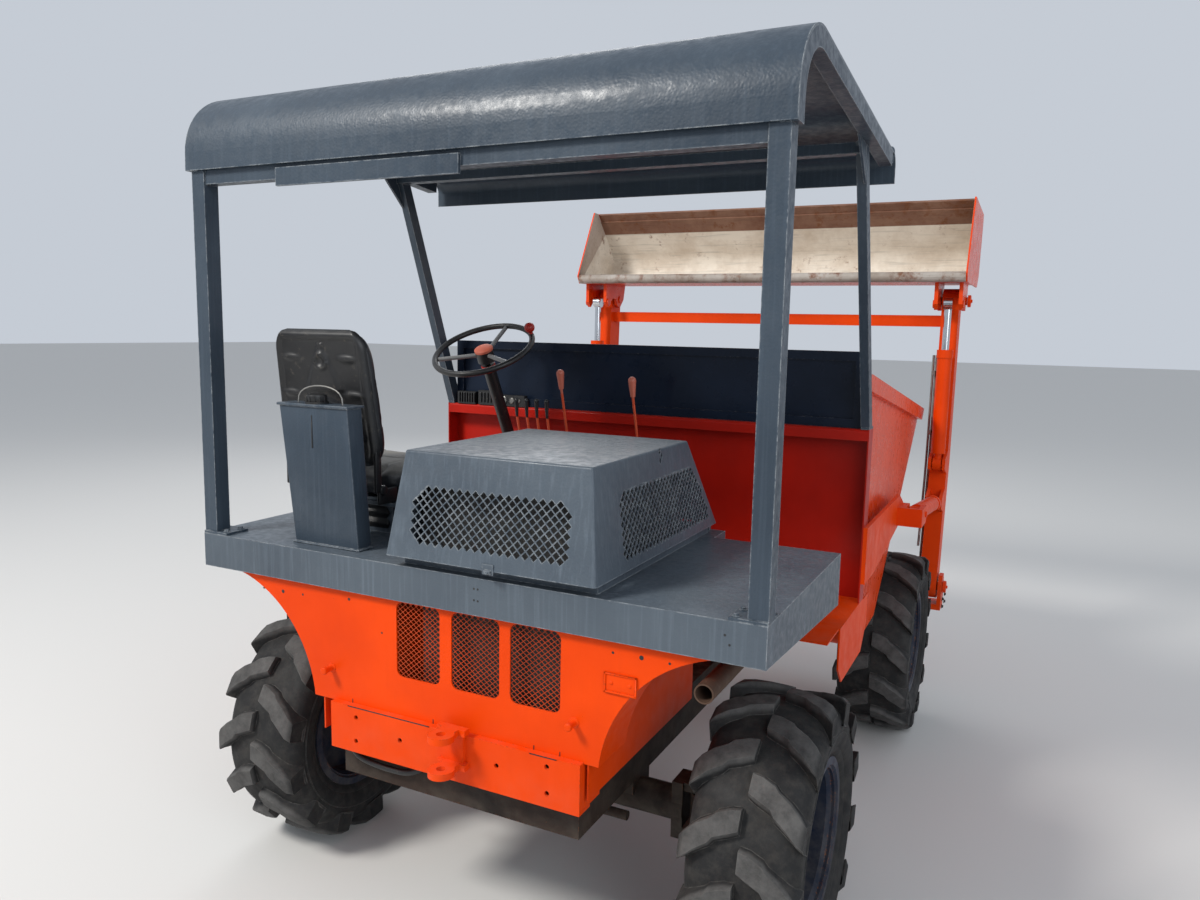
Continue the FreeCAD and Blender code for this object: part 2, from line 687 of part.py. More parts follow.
def arc_edge(points, y):
    return Part.Arc(*[vec(x, y, z) for x, z in points]).toShape()


arch_r = math.hypot(ARCH_X - PANEL_LOW_HALF, PANEL_LOW_Z - ARCH_Z)
low_angle = 180.0 - math.degrees(math.asin((PANEL_LOW_Z - ARCH_Z) / arch_r))
top_angle = 180.0 - math.degrees(math.acos((ARCH_X - PANEL_TOP_HALF) / arch_r))
panel_top = ARCH_Z + arch_r * math.sin(math.radians(top_angle))


def panel_sheet():
    right = [arch_point(arch_r, a) for a in (low_angle, (low_angle + top_angle) / 2.0, top_angle)]
    left = [(-x, z) for x, z in right]
    y = PANEL_Y
    edges = [
        arc_edge(right, y),
        arc_edge(left, y),
        Part.makeLine(vec(right[0][0], y, right[0][1]), vec(left[0][0], y, left[0][1])),
        Part.makeLine(vec(right[2][0], y, right[2][1]), vec(left[2][0], y, left[2][1])),
    ]
    sheet = Part.Face(Part.Wire(Part.__sortEdges__(edges))).extrude(vec(0, SHEET, 0))
    for x0, x1 in WINDOWS:
        window = Part.Face(rounded_rect(x0, x1, WINDOW_Z0, WINDOW_Z1, WINDOW_R, y - 1.0))
        sheet = sheet.cut(window.extrude(vec(0, SHEET + 2.0, 0)))
    return sheet


def arch_flange(side):
    inner = [arch_point(arch_r, a) for a in (low_angle, (low_angle + top_angle) / 2.0, top_angle)]
    outer = [arch_point(arch_r + SHEET, a) for a in (low_angle, (low_angle + top_angle) / 2.0, top_angle)]
    y = PANEL_Y
    edges = [
        arc_edge(inner, y),
        arc_edge(outer, y),
        Part.makeLine(vec(inner[0][0], y, inner[0][1]), vec(outer[0][0], y, outer[0][1])),
        Part.makeLine(vec(inner[2][0], y, inner[2][1]), vec(outer[2][0], y, outer[2][1])),
    ]
    flange = Part.Face(Part.Wire(Part.__sortEdges__(edges))).extrude(vec(0, FLANGE_DEPTH, 0))
    return flange if side > 0 else mirrored(flange)


panel = panel_sheet()
bar_front = box(BAR_X0, BAR_X1, 0, 8.0, BAR_Z0, PANEL_LOW_Z + 4.0)
bar_top = box(BAR_X0, BAR_X1, 0, BAR_DEPTH, PANEL_LOW_Z - 4.0, PANEL_LOW_Z + 4.0)
bar_low = box(BAR_X0, BAR_X1, 0, BAR_DEPTH, BAR_Z0, BAR_Z0 + 8.0)
for x, z in BAR_HOLES:
    bar_front = bar_front.cut(Part.makeCylinder(BAR_HOLE_R, BAR_DEPTH / 2.0, vec(x, -1.0, z), Y_AXIS))
save("rear_panel", union(panel, arch_flange(1), arch_flange(-1), bar_front, bar_top, bar_low))
grilles = []
for x0, x1 in WINDOWS:
    y = PANEL_Y + SHEET
    x0, x1 = x0 - MESH_LAP, x1 + MESH_LAP
    z0, z1 = WINDOW_Z0 - MESH_LAP, WINDOW_Z1 + MESH_LAP - 6.0
    grilles.append(diamond_sheet([(x1, y, z0), (x0, y, z0), (x1, y, z1)], 28.0, 30.0, 2.6, MESH_T))
save("rear_grilles", *grilles)

hitch_top = HITCH_TOP_Z - HITCH_T


def hitch_plate(z):
    x0, x1 = HITCH_X - HITCH_W / 2.0, HITCH_X + HITCH_W / 2.0
    block = box(x0 + 20, x1 - 20, HITCH_PIN_Y, 0, z, z + HITCH_T)
    base = box(x0, x1, -22.0, 0, z, z + HITCH_T)
    return union(block, base, pin(HITCH_X, HITCH_PIN_Y, z, z + HITCH_T, HITCH_REACH + HITCH_PIN_Y))


hitch = union(hitch_plate(HITCH_LOW_Z), hitch_plate(hitch_top),
              box(HITCH_X - 34, HITCH_X + 34, -12.0, 0, HITCH_LOW_Z, HITCH_TOP_Z))
hitch = hitch.cut(pin(HITCH_X, HITCH_PIN_Y, HITCH_LOW_Z - 5, HITCH_TOP_Z + 5, HITCH_PIN_R))
save("tow_hitch", hitch)

# Deck: a plate with folded edges and an opening over the engine, with a raised coaming for the hood
deck_z0 = DECK_Z - DECK_T
coam_x0, coam_x1 = HOOD_X0 + COAMING_IN, HOOD_X1 - COAMING_IN
coam_y0, coam_y1 = 30.0, HOOD_Y1 - COAMING_IN
tongue_y1 = HINGE_Y + 16.0
deck_plate = box(-DECK_HALF, DECK_HALF, 0, DECK_Y1, deck_z0, DECK_Z)
tongue = box(HOOD_X0 - 20, HOOD_X1 + 20, DECK_Y1 - 1, tongue_y1, deck_z0, DECK_Z)
coaming = box(coam_x0, coam_x1, coam_y0, coam_y1, deck_z0, HOOD_Z - 0.5)
opening = box(coam_x0 + 4, coam_x1 - 4, coam_y0 + 4, coam_y1 - 4, deck_z0 - 10, HOOD_Z + 10)
rear_fascia = box(-DECK_HALF, DECK_HALF, 0, SHEET, DECK_Z - FASCIA_H, DECK_Z)
side_fascia = side_plate([(0, DECK_Z), (0, DECK_Z - FASCIA_H), (DECK_Y1, DECK_Z - FASCIA_FRONT_H), (DECK_Y1, DECK_Z)],
                         DECK_HALF - SHEET, DECK_HALF)
front_fascias = []
for x0, x1 in ((-DECK_HALF, HOOD_X0 - 20), (HOOD_X1 + 20, DECK_HALF)):
    front_fascias.append(box(x0, x1, DECK_Y1 - SHEET, DECK_Y1, DECK_Z - FASCIA_FRONT_H, DECK_Z))
front_riser = box(HOOD_X0 - 20, HOOD_X1 + 20, tongue_y1 - SHEET, tongue_y1, FLOOR_Z, DECK_Z)
riser_sides = []
for x in (HOOD_X0 - 20, HOOD_X1 + 20 - SHEET):
    riser_sides.append(box(x, x + SHEET, DECK_Y1 - SHEET, tongue_y1, FLOOR_Z, DECK_Z))
hinge_ears = []
for x in (HOOD_X0 + 60, HOOD_X1 - 60):
    for offset in (-32.0, 24.0):
        ear = box(x + offset, x + offset + 8.0, HINGE_Y - 9, HINGE_Y + 9, DECK_Z - 1, HOOD_Z)
        hinge_ears.append(ear.fuse(rod(x + offset, x + offset + 8.0, HINGE_Y, HOOD_Z, 9.0)))
deck = union(deck_plate, tongue, coaming, rear_fascia, front_riser, *pair(side_fascia), *front_fascias, *riser_sides)
deck = deck.cut(opening)
deck = union(deck, *hinge_ears)
for x in (HOOD_X0 + 60, HOOD_X1 - 60):
    deck = deck.cut(rod(x - 40, x + 40, HINGE_Y, HOOD_Z, HINGE_PIN_R + FIT))
save("deck", deck)

# Engine bay walls, on the rails and up to the deck
bay_wall = box(BAY_HALF, BAY_HALF + SHEET, PANEL_Y + SHEET, DECK_Y1 - SHEET, RAIL_Z1, deck_z0)
bay_foot = box(RAIL_IN + 10, BAY_HALF + 1, RAIL_Y0, DECK_Y1 - SHEET, RAIL_Z1, RAIL_Z1 + SHEET)
bay_web = front_plate([(BAY_HALF + SHEET - 1, BAY_WEB_Z0), (BAY_HALF + SHEET - 1, deck_z0),
                       (DECK_HALF - SHEET, deck_z0), (DECK_HALF - SHEET, DECK_Z - FASCIA_H)],
                      DECK_Y1 - 66.0, DECK_Y1 - 58.0)
save("engine_bay", *pair(union(bay_wall, bay_foot, bay_web)))

engine = box(ENGINE_X0, ENGINE_X1, ENGINE_Y0, ENGINE_Y1, RAIL_Z1 + 40, ENGINE_Z1)
engine_feet = []
for y in ENGINE_FEET_Y:
    engine_feet.append(box(-BAY_HALF, BAY_HALF, y - 30.0, y + 30.0, RAIL_Z1 + SHEET, RAIL_Z1 + 45))
save("engine_block", union(engine, *engine_feet))

# Exhaust: out of the engine bay to the right and back to the deck's rear edge
exhaust_y = SILENCER_Y + 10.0
silencer = Part.makeCylinder(SILENCER_R, SILENCER_L, vec(EXHAUST_X - 120.0, SILENCER_Y, EXHAUST_Z + 40.0), Y_AXIS)
tail = Part.makeCylinder(EXHAUST_R, exhaust_y - 12.0, vec(EXHAUST_X, 12.0, EXHAUST_Z), Y_AXIS)
tail_link = Part.makeCylinder(EXHAUST_R, 120.0, vec(EXHAUST_X - 100.0, exhaust_y + 30.0, EXHAUST_Z), X_AXIS)
tail_elbow = Part.makeCylinder(EXHAUST_R, 60.0, vec(EXHAUST_X, exhaust_y - 12.0, EXHAUST_Z), Y_AXIS)
engine_link = Part.makeCylinder(EXHAUST_R, EXHAUST_X - 120.0 - BAY_HALF - SHEET,
                                vec(BAY_HALF + SHEET, exhaust_y + 200.0, EXHAUST_Z + 40.0), X_AXIS)
save("exhaust", union(silencer, tail, tail_link, tail_elbow, engine_link).cut(
    Part.makeCylinder(EXHAUST_R - 4.0, 200.0, vec(EXHAUST_X, 0.0, EXHAUST_Z), Y_AXIS)))


# Hood: a tapered sheet box, open below, with mesh windows in its rear and right sides
def frustum(inset, z0, z1):
    def ring(z):
        t = (z - HOOD_Z) / (HOOD_TOP_Z - HOOD_Z)
        x0 = HOOD_X0 + (HOOD_TOP_X0 - HOOD_X0) * t + inset
        x1 = HOOD_X1 + (HOOD_TOP_X1 - HOOD_X1) * t - inset
        y0 = HOOD_Y0 + (HOOD_TOP_Y0 - HOOD_Y0) * t + inset
        y1 = HOOD_Y1 + (HOOD_TOP_Y1 - HOOD_Y1) * t - inset
        return Part.makePolygon([vec(x0, y0, z), vec(x1, y0, z), vec(x1, y1, z), vec(x0, y1, z), vec(x0, y0, z)])
    return Part.makeLoft([ring(z0), ring(z1)], True, True)


hood = frustum(0.0, HOOD_Z, HOOD_TOP_Z).cut(frustum(HOOD_T, HOOD_Z - 20.0, HOOD_TOP_Z - HOOD_T))
rear_window = box(-76.0, 392.0, -60.0, 40.0, HOOD_WINDOW_Z0, HOOD_WINDOW_Z1)
side_window = box(400.0, 520.0, 150.0, 620.0, HOOD_WINDOW_Z0, HOOD_WINDOW_Z1)
hood = hood.cut(rear_window).cut(side_window)
for x in (HOOD_X0 + 60, HOOD_X1 - 60):
    strap = side_plate([(HOOD_Y1 - 10, HOOD_Z + 0.5), (HINGE_Y, HOOD_Z - 9), (HINGE_Y + 9, HOOD_Z),
                        (HINGE_Y, HOOD_Z + 9), (HOOD_Y1 - 14, HOOD_Z + 18)], x - 18, x + 18)
    hood = union(hood, strap, rod(x - 18, x + 18, HINGE_Y, HOOD_Z, 9.0), rod(x - 34, x + 34, HINGE_Y, HOOD_Z, HINGE_PIN_R))
save("hood", hood)


def hood_slope(low, high, z):
    return low + (high - low) * (z - HOOD_Z) / (HOOD_TOP_Z - HOOD_Z)


mesh_z0, mesh_z1 = HOOD_WINDOW_Z0 - MESH_LAP, HOOD_WINDOW_Z1 + MESH_LAP
rear_y0 = hood_slope(HOOD_Y0, HOOD_TOP_Y0, mesh_z0) + HOOD_T * 1.02
rear_y1 = hood_slope(HOOD_Y0, HOOD_TOP_Y0, mesh_z1) + HOOD_T * 1.02
side_x0 = hood_slope(HOOD_X1, HOOD_TOP_X1, mesh_z0) - HOOD_T * 1.02
side_x1 = hood_slope(HOOD_X1, HOOD_TOP_X1, mesh_z1) - HOOD_T * 1.02
rear_mesh = diamond_sheet([(402.0, rear_y0, mesh_z0), (-86.0, rear_y0, mesh_z0), (402.0, rear_y1, mesh_z1)],
                          34.0, 30.0, 3.2, MESH_T)
side_mesh = diamond_sheet([(side_x0, 630.0, mesh_z0), (side_x0, 140.0, mesh_z0), (side_x1, 630.0, mesh_z1)],
                          34.0, 30.0, 3.2, MESH_T)
save("hood_mesh", rear_mesh, side_mesh)

# Footwell: floor with side skirts, carried by cross plates on the rails
floor = box(-FLOOR_HALF, FLOOR_HALF, DECK_Y1, WALL_Y1, FLOOR_Z - SHEET, FLOOR_Z)
skirt_outline = [(SKIRT_Y0, FLOOR_Z - SHEET), (SKIRT_Y0, SKIRT_Z0 + 60), (SKIRT_Y0 + 60, SKIRT_Z0),
                 (SKIRT_Y1 - 90, SKIRT_Z0), (SKIRT_Y1, SKIRT_Z0 + 90), (SKIRT_Y1, FLOOR_Z - SHEET)]
skirt = side_plate(skirt_outline, FLOOR_HALF, FLOOR_HALF + SHEET)
cross_plates = []
for y, reach in ((DECK_Y1 + 6.0, BAY_HALF), (CROSS_PLATE_Y, FLOOR_HALF - 20.0)):
    outline = [(-RAIL_IN, RAIL_Z1), (RAIL_IN + RAIL_W, RAIL_Z1), (reach, CROSS_PLATE_Z), (reach, FLOOR_Z - SHEET + 1),
               (-reach, FLOOR_Z - SHEET + 1), (-reach, CROSS_PLATE_Z), (-RAIL_IN - RAIL_W, RAIL_Z1)]
    cross_plates.append(front_plate(outline, y, y + 8.0))
save("footwell", union(floor, *cross_plates, *pair(union(
    skirt, box(FLOOR_HALF - 20, FLOOR_HALF + SHEET, SKIRT_Y0, WALL_Y1, FLOOR_Z - SHEET, FLOOR_Z)))))

# Bulkhead: an upright folded sheet with side returns and a ledge
wall = bent_sheet([(WALL_Y1, FLOOR_Z), (WALL_Y1, WALL_TOP), (WALL_Y0, WALL_TOP), (WALL_Y0, WALL_TOP - 40)],
                  [10.0, 10.0], SHEET, -WALL_HALF + SHEET, WALL_HALF - SHEET)
return_plate = box(WALL_HALF - SHEET, WALL_HALF, WALL_Y0, WALL_Y1, FLOOR_Z, WALL_TOP)
save("bulkhead", union(wall, *pair(return_plate)))

# Guard panel: a framed sheet on the ledge, between the canopy's front posts
guard_sheet = box(-GUARD_HALF, GUARD_HALF, GUARD_Y, GUARD_Y + 4, WALL_TOP, GUARD_TOP)
guard_frame = box(-GUARD_HALF, GUARD_HALF, GUARD_Y - 12, GUARD_Y + 16, WALL_TOP, GUARD_TOP).cut(
    box(-GUARD_HALF + 32, GUARD_HALF - 32, GUARD_Y - 20, GUARD_Y + 30, WALL_TOP + 32, GUARD_TOP - 32))
save("guard_panel", union(guard_sheet, guard_frame))

# Canopy: two upright rear posts, two leaning front posts, beams and the side rails of the roof
roof_path = [(ROOF_REAR_Y, ROOF_REAR_Z), (ROOF_REAR_Y + 6, ROOF_TOP_Z - 4), (ROOF_FRONT_Y, ROOF_FRONT_Z + 30),
             (ROOF_FRONT_Y, ROOF_FRONT_Z - 60)]
rail_path = offset_path(roof_path, -ROOF_T)[:3]
rail_path[2] = slide_on(rail_path[2], rail_path[1], ROOF_FRONT_R + 20.0)
side_rail = bent_sheet(rail_path, [ROOF_REAR_R - ROOF_T], -46.0, ROOF_HALF - 40.0, ROOF_HALF)
half = POST / 2.0
rear_post = box(POST_X - half, POST_X + half, POST_Y - half, POST_Y + half, DECK_Z + 8, REAR_POST_TOP)
base_plate = box(POST_X - 70, DECK_HALF, 1.0, POST_Y + 55, DECK_Z, DECK_Z + 8)
front_post = side_plate([(FRONT_FOOT_Y - 25, WALL_TOP + 8), (FRONT_FOOT_Y + 25, WALL_TOP + 8),
                         (FRONT_TOP_Y + 25, MID_BEAM_Z1 - 3), (FRONT_TOP_Y - 25, MID_BEAM_Z1 + 2)], POST_X - 25, POST_X + 5)
front_foot = box(GUARD_HALF + 1, WALL_HALF, FRONT_FOOT_Y - 24, WALL_Y1, WALL_TOP, WALL_TOP + 8)
gusset = side_plate([(FRONT_TOP_Y - 12, MID_BEAM_Z1 - 8), (FRONT_TOP_Y - 120, MID_BEAM_Z1 + 10),
                     (FRONT_TOP_Y + 20, MID_BEAM_Z1 - 118)],
                    POST_X - 4, POST_X + 4)
rear_beam = box(-POST_X, POST_X, POST_Y - 20, POST_Y + 20, BEAM_TOP, BEAM_TOP + 45)
extra_beam = box(EXTRA_BEAM_X0, EXTRA_BEAM_X1, POST_Y - 30, POST_Y - 20, BEAM_TOP - 20, BEAM_TOP + 30)
mid_beam = box(-POST_X, POST_X, FRONT_TOP_Y - 20, FRONT_TOP_Y + 20, MID_BEAM_Z0, MID_BEAM_Z1)
save("canopy_frame", union(rear_beam, extra_beam, mid_beam,
                           *pair(union(side_rail, rear_post, base_plate, front_post, front_foot, gusset))))
roof = bent_sheet(roof_path, [ROOF_REAR_R, ROOF_FRONT_R], -ROOF_T, -ROOF_HALF, ROOF_HALF)
save("canopy_roof", roof)

# Seat, side tank, column, wheel, levers
seat_x0, seat_x1 = SEAT_X - SEAT_W / 2.0, SEAT_X + SEAT_W / 2.0
pedestal = box(seat_x0 + 50, seat_x1 - 50, SEAT_Y0 + 20, SEAT_Y1 - 80, DECK_Z, SEAT_BASE_Z - 12)
tray = box(seat_x0 + 15, seat_x1 - 15, SEAT_Y0, SEAT_Y1 - 20, SEAT_BASE_Z - 12, SEAT_BASE_Z)
save("seat_base", union(pedestal, tray))
save("seat_cushion", rounded_block(seat_x0, seat_x1, SEAT_Y0 - 30, SEAT_Y1, SEAT_BASE_Z, SEAT_BASE_Z + CUSHION_T, 34.0))
back_profile = [(SEAT_Y0 - 30.3, SEAT_BASE_Z + 6), (SEAT_Y0 - 30.3, SEAT_BASE_Z + CUSHION_T), (BACK_Y + 70, BACK_TOP - 40),
                (BACK_Y + 40, BACK_TOP), (BACK_Y, BACK_TOP - 20), (SEAT_Y0 - 125.0, SEAT_BASE_Z + 100),
                (SEAT_Y0 - 120.0, SEAT_BASE_Z + 6)]
save("seat_back", side_plate(back_profile, seat_x0 + 10, seat_x1 - 10))
save("side_tank", union(box(TANK_X0, TANK_X1, TANK_Y0, TANK_Y1, DECK_Z, TANK_TOP),
                        pin(TANK_X0 + 90, (TANK_Y0 + TANK_Y1) / 2.0, TANK_TOP, TANK_TOP + 30, 30.0)))

tilt = math.radians(WHEEL_TILT)
column_dir = (0.0, math.sin(tilt), -math.cos(tilt))


def down_column(distance):
    return (WHEEL_X, WHEEL_Y + column_dir[1] * distance, WHEEL_Z + column_dir[2] * distance)


column_length = (WALL_Y1 - SHEET - COLUMN_R - WHEEL_Y) / math.sin(tilt)
column = union(
    bar_between(down_column(WHEEL_BOSS + 4.0), down_column(column_length), COLUMN_R),
    bar_between(down_column(20.0), down_column(WHEEL_BOSS + 10.0), 9.0),
    box(WHEEL_X - 45, WHEEL_X + 45, WALL_Y1 - SHEET - 40, WALL_Y1 - SHEET,
        down_column(column_length)[2] - 30, down_column(column_length)[2] + 70))
save("steering_column", column)


def make_steering_wheel():
    ring = Part.makeTorus(WHEEL_R, WHEEL_TUBE)
    hub = Part.makeCylinder(34.0, 46.0, vec(0, 0, -50.0)).fuse(Part.makeCone(30.0, 14.0, WHEEL_BOSS - 50.0, vec(0, 0, -50.0), vec(0, 0, -1)))
    spokes = []
    for angle in (90.0, 210.0, 330.0):
        a = math.radians(angle)
        foot = (24.0 * math.cos(a), 24.0 * math.sin(a), -20.0)
        end = (WHEEL_R * math.cos(a), WHEEL_R * math.sin(a), 0.0)
        spokes.append(bar_between(foot, end, 8.0))
    a = math.radians(35.0)
    knob_x, knob_y = WHEEL_R * math.cos(a), WHEEL_R * math.sin(a)
    knob = Part.makeCylinder(8.0, 24.0, vec(knob_x, knob_y, 0)).fuse(Part.makeSphere(20.0, vec(knob_x, knob_y, 38.0)))
    solid = union(ring, hub, knob, *spokes)
    solid = solid.cut(Part.makeCylinder(9.0 + FIT, 80.0, vec(0, 0, -90.0)))
    solid.rotate(vec(0, 0, 0), X_AXIS, WHEEL_TILT)
    solid.translate(vec(WHEEL_X, WHEEL_Y, WHEEL_Z))
    return solid


save("steering_wheel", make_steering_wheel())

console = side_plate([(CONSOLE_Y0, FLOOR_Z), (CONSOLE_Y0, CONSOLE_Z1 - 60), (CONSOLE_Y0 + 40, CONSOLE_Z1),
                      (WALL_Y1 - SHEET, CONSOLE_Z1), (WALL_Y1 - SHEET, FLOOR_Z)], CONSOLE_X0, CONSOLE_X1)
console = console.cut(side_plate([(CONSOLE_Y0 + 4, FLOOR_Z - 1), (CONSOLE_Y0 + 4, CONSOLE_Z1 - 62),
                                  (CONSOLE_Y0 + 42, CONSOLE_Z1 - 4), (WALL_Y1, CONSOLE_Z1 - 4), (WALL_Y1, FLOOR_Z - 1)],
                                 CONSOLE_X0 + 4, CONSOLE_X1 - 4))
levers = []
for x, foot_y, lean, height, knob_r in LEVERS:
    foot = (x, foot_y, CONSOLE_Z1 - 3.0)
    top = (x, foot_y - lean, CONSOLE_Z1 + height - 60.0)
    tip = (x, foot_y - lean * 1.15, CONSOLE_Z1 + height)
    grip = Part.makeCone(knob_r * 0.6, knob_r, (vec(*tip) - vec(*top)).Length, vec(*top), vec(*tip) - vec(*top))
    levers += [bar_between(foot, top, 5.0), grip, Part.makeSphere(knob_r, vec(*tip))]
save("lever_console", union(console, *levers))

dash = []
for x0, x1, height in DASH_BOXES:
    dash.append(box(x0 - WALL_HALF, x1 - WALL_HALF, WALL_Y0 - 2.0, GUARD_Y - 13.0, WALL_TOP, WALL_TOP + height))
save("dash_boxes", *dash)

# Skip: one folded belly sheet between two side plates, with a box rim
skip_path = [SKIP_LIP, SKIP_FLOOR_END, SKIP_REAR_LOW, SKIP_REAR_TOP]
belly = bent_sheet(skip_path, [90.0, 60.0], -SKIP_T, -SKIP_HALF, SKIP_HALF)
sides = side_plate([SKIP_LIP, SKIP_FLOOR_END, SKIP_REAR_LOW, SKIP_REAR_TOP], SKIP_HALF - SKIP_T, SKIP_HALF)


rim_drop = (0.0, -SKIP_RIM_H)
rim_side = side_plate([SKIP_LIP, (SKIP_LIP[0] - 60, SKIP_LIP[1] - SKIP_RIM_H + 9),
                       (SKIP_REAR_TOP[0], SKIP_REAR_TOP[1] - SKIP_RIM_H), SKIP_REAR_TOP],
                      SKIP_HALF - 1, SKIP_HALF + SKIP_RIM)
rim_rear = side_plate([(SKIP_REAR_TOP[0] + 4, SKIP_REAR_TOP[1]), (SKIP_REAR_TOP[0] + 4, SKIP_REAR_TOP[1] - SKIP_RIM_H),
                       (SKIP_REAR_TOP[0] - SKIP_RIM, SKIP_REAR_TOP[1] - SKIP_RIM_H),
                       (SKIP_REAR_TOP[0] - SKIP_RIM, SKIP_REAR_TOP[1])], -SKIP_HALF - SKIP_RIM, SKIP_HALF + SKIP_RIM)


def skip_ear(x0, x1, top_back, top_front, eye, r):
    def wall_z(y):
        slope = (SKIP_LIP[1] - SKIP_FLOOR_END[1]) / (SKIP_LIP[0] - SKIP_FLOOR_END[0])
        return SKIP_FLOOR_END[1] + slope * (y - SKIP_FLOOR_END[0]) + 3.0
    y, z = eye
    plate = side_plate([(top_back, wall_z(top_back)), (y - r, z), (y + r, z), (top_front, wall_z(top_front))], x0, x1)
    return plate.fuse(rod(x0, x1, y, z, r))


pivot = (SKIP_PIVOT_Y, SKIP_PIVOT_Z)
ears = []
for side in (-1, 1):
    ear = skip_ear(SKIP_EAR_X0, SKIP_EAR_X1, SKIP_PIVOT_Y - 90, SKIP_PIVOT_Y + 160, pivot, SKIP_EAR_R)
    ear = ear.fuse(rod(RAIL_IN - 8, RAIL_IN + RAIL_W + 8, SKIP_PIVOT_Y, SKIP_PIVOT_Z, SKIP_PIN_R))
    ears.append(ear if side > 0 else mirrored(ear))
    eye_x0 = CYL_EYE_W / 2.0 + 5.0
    tip_ear = skip_ear(eye_x0, eye_x0 + 15.0, TIP_EYE[0] - 80, TIP_EYE[0] + 90, TIP_EYE, 28.0)
    tip_ear = tip_ear.fuse(rod(eye_x0 + 14, eye_x0 + 22, TIP_EYE[0], TIP_EYE[1], 18.0))
    ears.append(tip_ear if side > 0 else mirrored(tip_ear))
save("skip", union(belly, rim_rear, *pair(union(sides, rim_side)), *ears))


# Cylinders
def make_cylinder(base, eye, sizes, x):
    barrel_r, rod_r, barrel_length, rod_length = sizes
    direction = vec(0, eye[0] - base[0], eye[1] - base[1])
    reach = direction.Length
    direction.normalize()
    start = vec(x, *base)
    half_w = CYL_EYE_W / 2.0
    neck = Part.makeCylinder(CYL_EYE_W / 2.0 - 2.0, CYL_NECK, start, direction)
    barrel = Part.makeCylinder(barrel_r, barrel_length - CYL_NECK, start + direction * CYL_NECK, direction)
    head = Part.makeCylinder(barrel_r + 4.0, 40.0, start + direction * (barrel_length - 40.0), direction)
    barrel = union(barrel, neck, head, rod(x - half_w, x + half_w, base[0], base[1], CYL_EYE_R))
    barrel = barrel.cut(rod(x - half_w - 1, x + half_w + 1, base[0], base[1], CYL_PIN_R + FIT))
    barrel = barrel.cut(Part.makeCylinder(rod_r + FIT, barrel_length, start + direction * (CYL_NECK + CYL_END), direction))
    piston = Part.makeCylinder(rod_r, rod_length, start + direction * (reach - rod_length), direction)
    piston = union(piston, rod(x - half_w, x + half_w, eye[0], eye[1], CYL_EYE_R))
    return barrel, piston


lift_barrel, lift_rod = make_cylinder(LIFT_BASE, LIFT_EYE, LIFT_SIZES, ARM_X)
save("lift_barrels", *pair(lift_barrel))
save("lift_rods", *pair(lift_rod))
crowd_barrel, crowd_rod = make_cylinder(CROWD_BASE, CROWD_PIN, CROWD_SIZES, ARM_X)
save("crowd_barrels", *pair(crowd_barrel))
save("crowd_rods", *pair(crowd_rod))
tip_barrel, tip_rod = make_cylinder(TIP_BASE, TIP_EYE, TIP_SIZES, 0.0)
save("tip_barrel", tip_barrel)
save("tip_rod", tip_rod)


# Lift arms, joined by the crossbar
def make_arm():
    path = offset_path([ARM_PIVOT, ARM_BEND, ARM_TIP], ARM_DEPTH / 2.0)
    x0, x1 = ARM_X - ARM_W / 2.0, ARM_X + ARM_W / 2.0
    beam = bent_sheet(path, [400.0], -ARM_DEPTH, x0, x1)
    eyes = [rod(x0, x1, y, z, ARM_EYE_R) for y, z in (ARM_PIVOT, ARM_TIP)]
    ears = []
    for y, z in (LIFT_EYE, CROWD_BASE):
        outline = [(y - 26, z - 26), (y + 120, z - 70), (y + 120, z + 70), (y - 26, z + 26)]
        for ear_x in (ARM_X - ARM_W / 2.0, ARM_X + CYL_EYE_W / 2.0 + 5.0):
            plate = side_plate(outline, ear_x, ear_x + 15.0)
            ears.append(plate.fuse(rod(ear_x, ear_x + 15.0, y, z, 28.0)))
    ears.append(rod(x0 + 1, x1 - 1, CROWD_BASE[0], CROWD_BASE[1], CYL_PIN_R))
    arm = union(beam, *eyes, *ears)
    for (y, z), r in ((ARM_PIVOT, ARM_PIN_R), (ARM_TIP, ARM_PIN_R)):
        arm = arm.cut(rod(x0 - 1, x1 + 1, y, z, r + FIT))
    return arm


bar_half = CROSSBAR_SIZE / 2.0
crossbar = box(-ARM_X, ARM_X, CROSSBAR[0] - bar_half, CROSSBAR[0] + bar_half, CROSSBAR[1] - bar_half, CROSSBAR[1] + bar_half)
save("lift_arms", union(crossbar, *pair(make_arm())))

# Bucket: one folded sheet from the lip tube round the heel to the cutting edge, with side plates
bucket_path = [BUCKET_LIP, BUCKET_HEEL, BUCKET_EDGE]
shell = bent_sheet(bucket_path, [BUCKET_HEEL_R], BUCKET_T, -BUCKET_HALF + BUCKET_T, BUCKET_HALF - BUCKET_T)
lip = rod(-BUCKET_HALF + BUCKET_T, BUCKET_HALF - BUCKET_T, BUCKET_LIP[0], BUCKET_LIP[1] + LIP_TUBE_R, LIP_TUBE_R)
edge_dir = unit(BUCKET_HEEL, BUCKET_EDGE)
edge_tip = (BUCKET_EDGE[0] + edge_dir[0] * 45.0, BUCKET_EDGE[1] + edge_dir[1] * 45.0)
edge_foot = (BUCKET_EDGE[0] - edge_dir[0] * 80.0, BUCKET_EDGE[1] - edge_dir[1] * 80.0)
edge_plate = bent_sheet([edge_foot, edge_tip], [], -14.0, -BUCKET_HALF, BUCKET_HALF)
cheek_outline = [BUCKET_LIP, (BUCKET_HEEL[0] - 40, BUCKET_HEEL[1]), (BUCKET_HEEL[0] + 30, BUCKET_HEEL[1] + 60),
                 (BUCKET_FRONT_Y, 2440.0), (2890.0, 2466.0), (BUCKET_LIP[0] - 24.0, BUCKET_LIP[1] + 40)]
cheek = side_plate(cheek_outline, BUCKET_HALF - BUCKET_T, BUCKET_HALF)
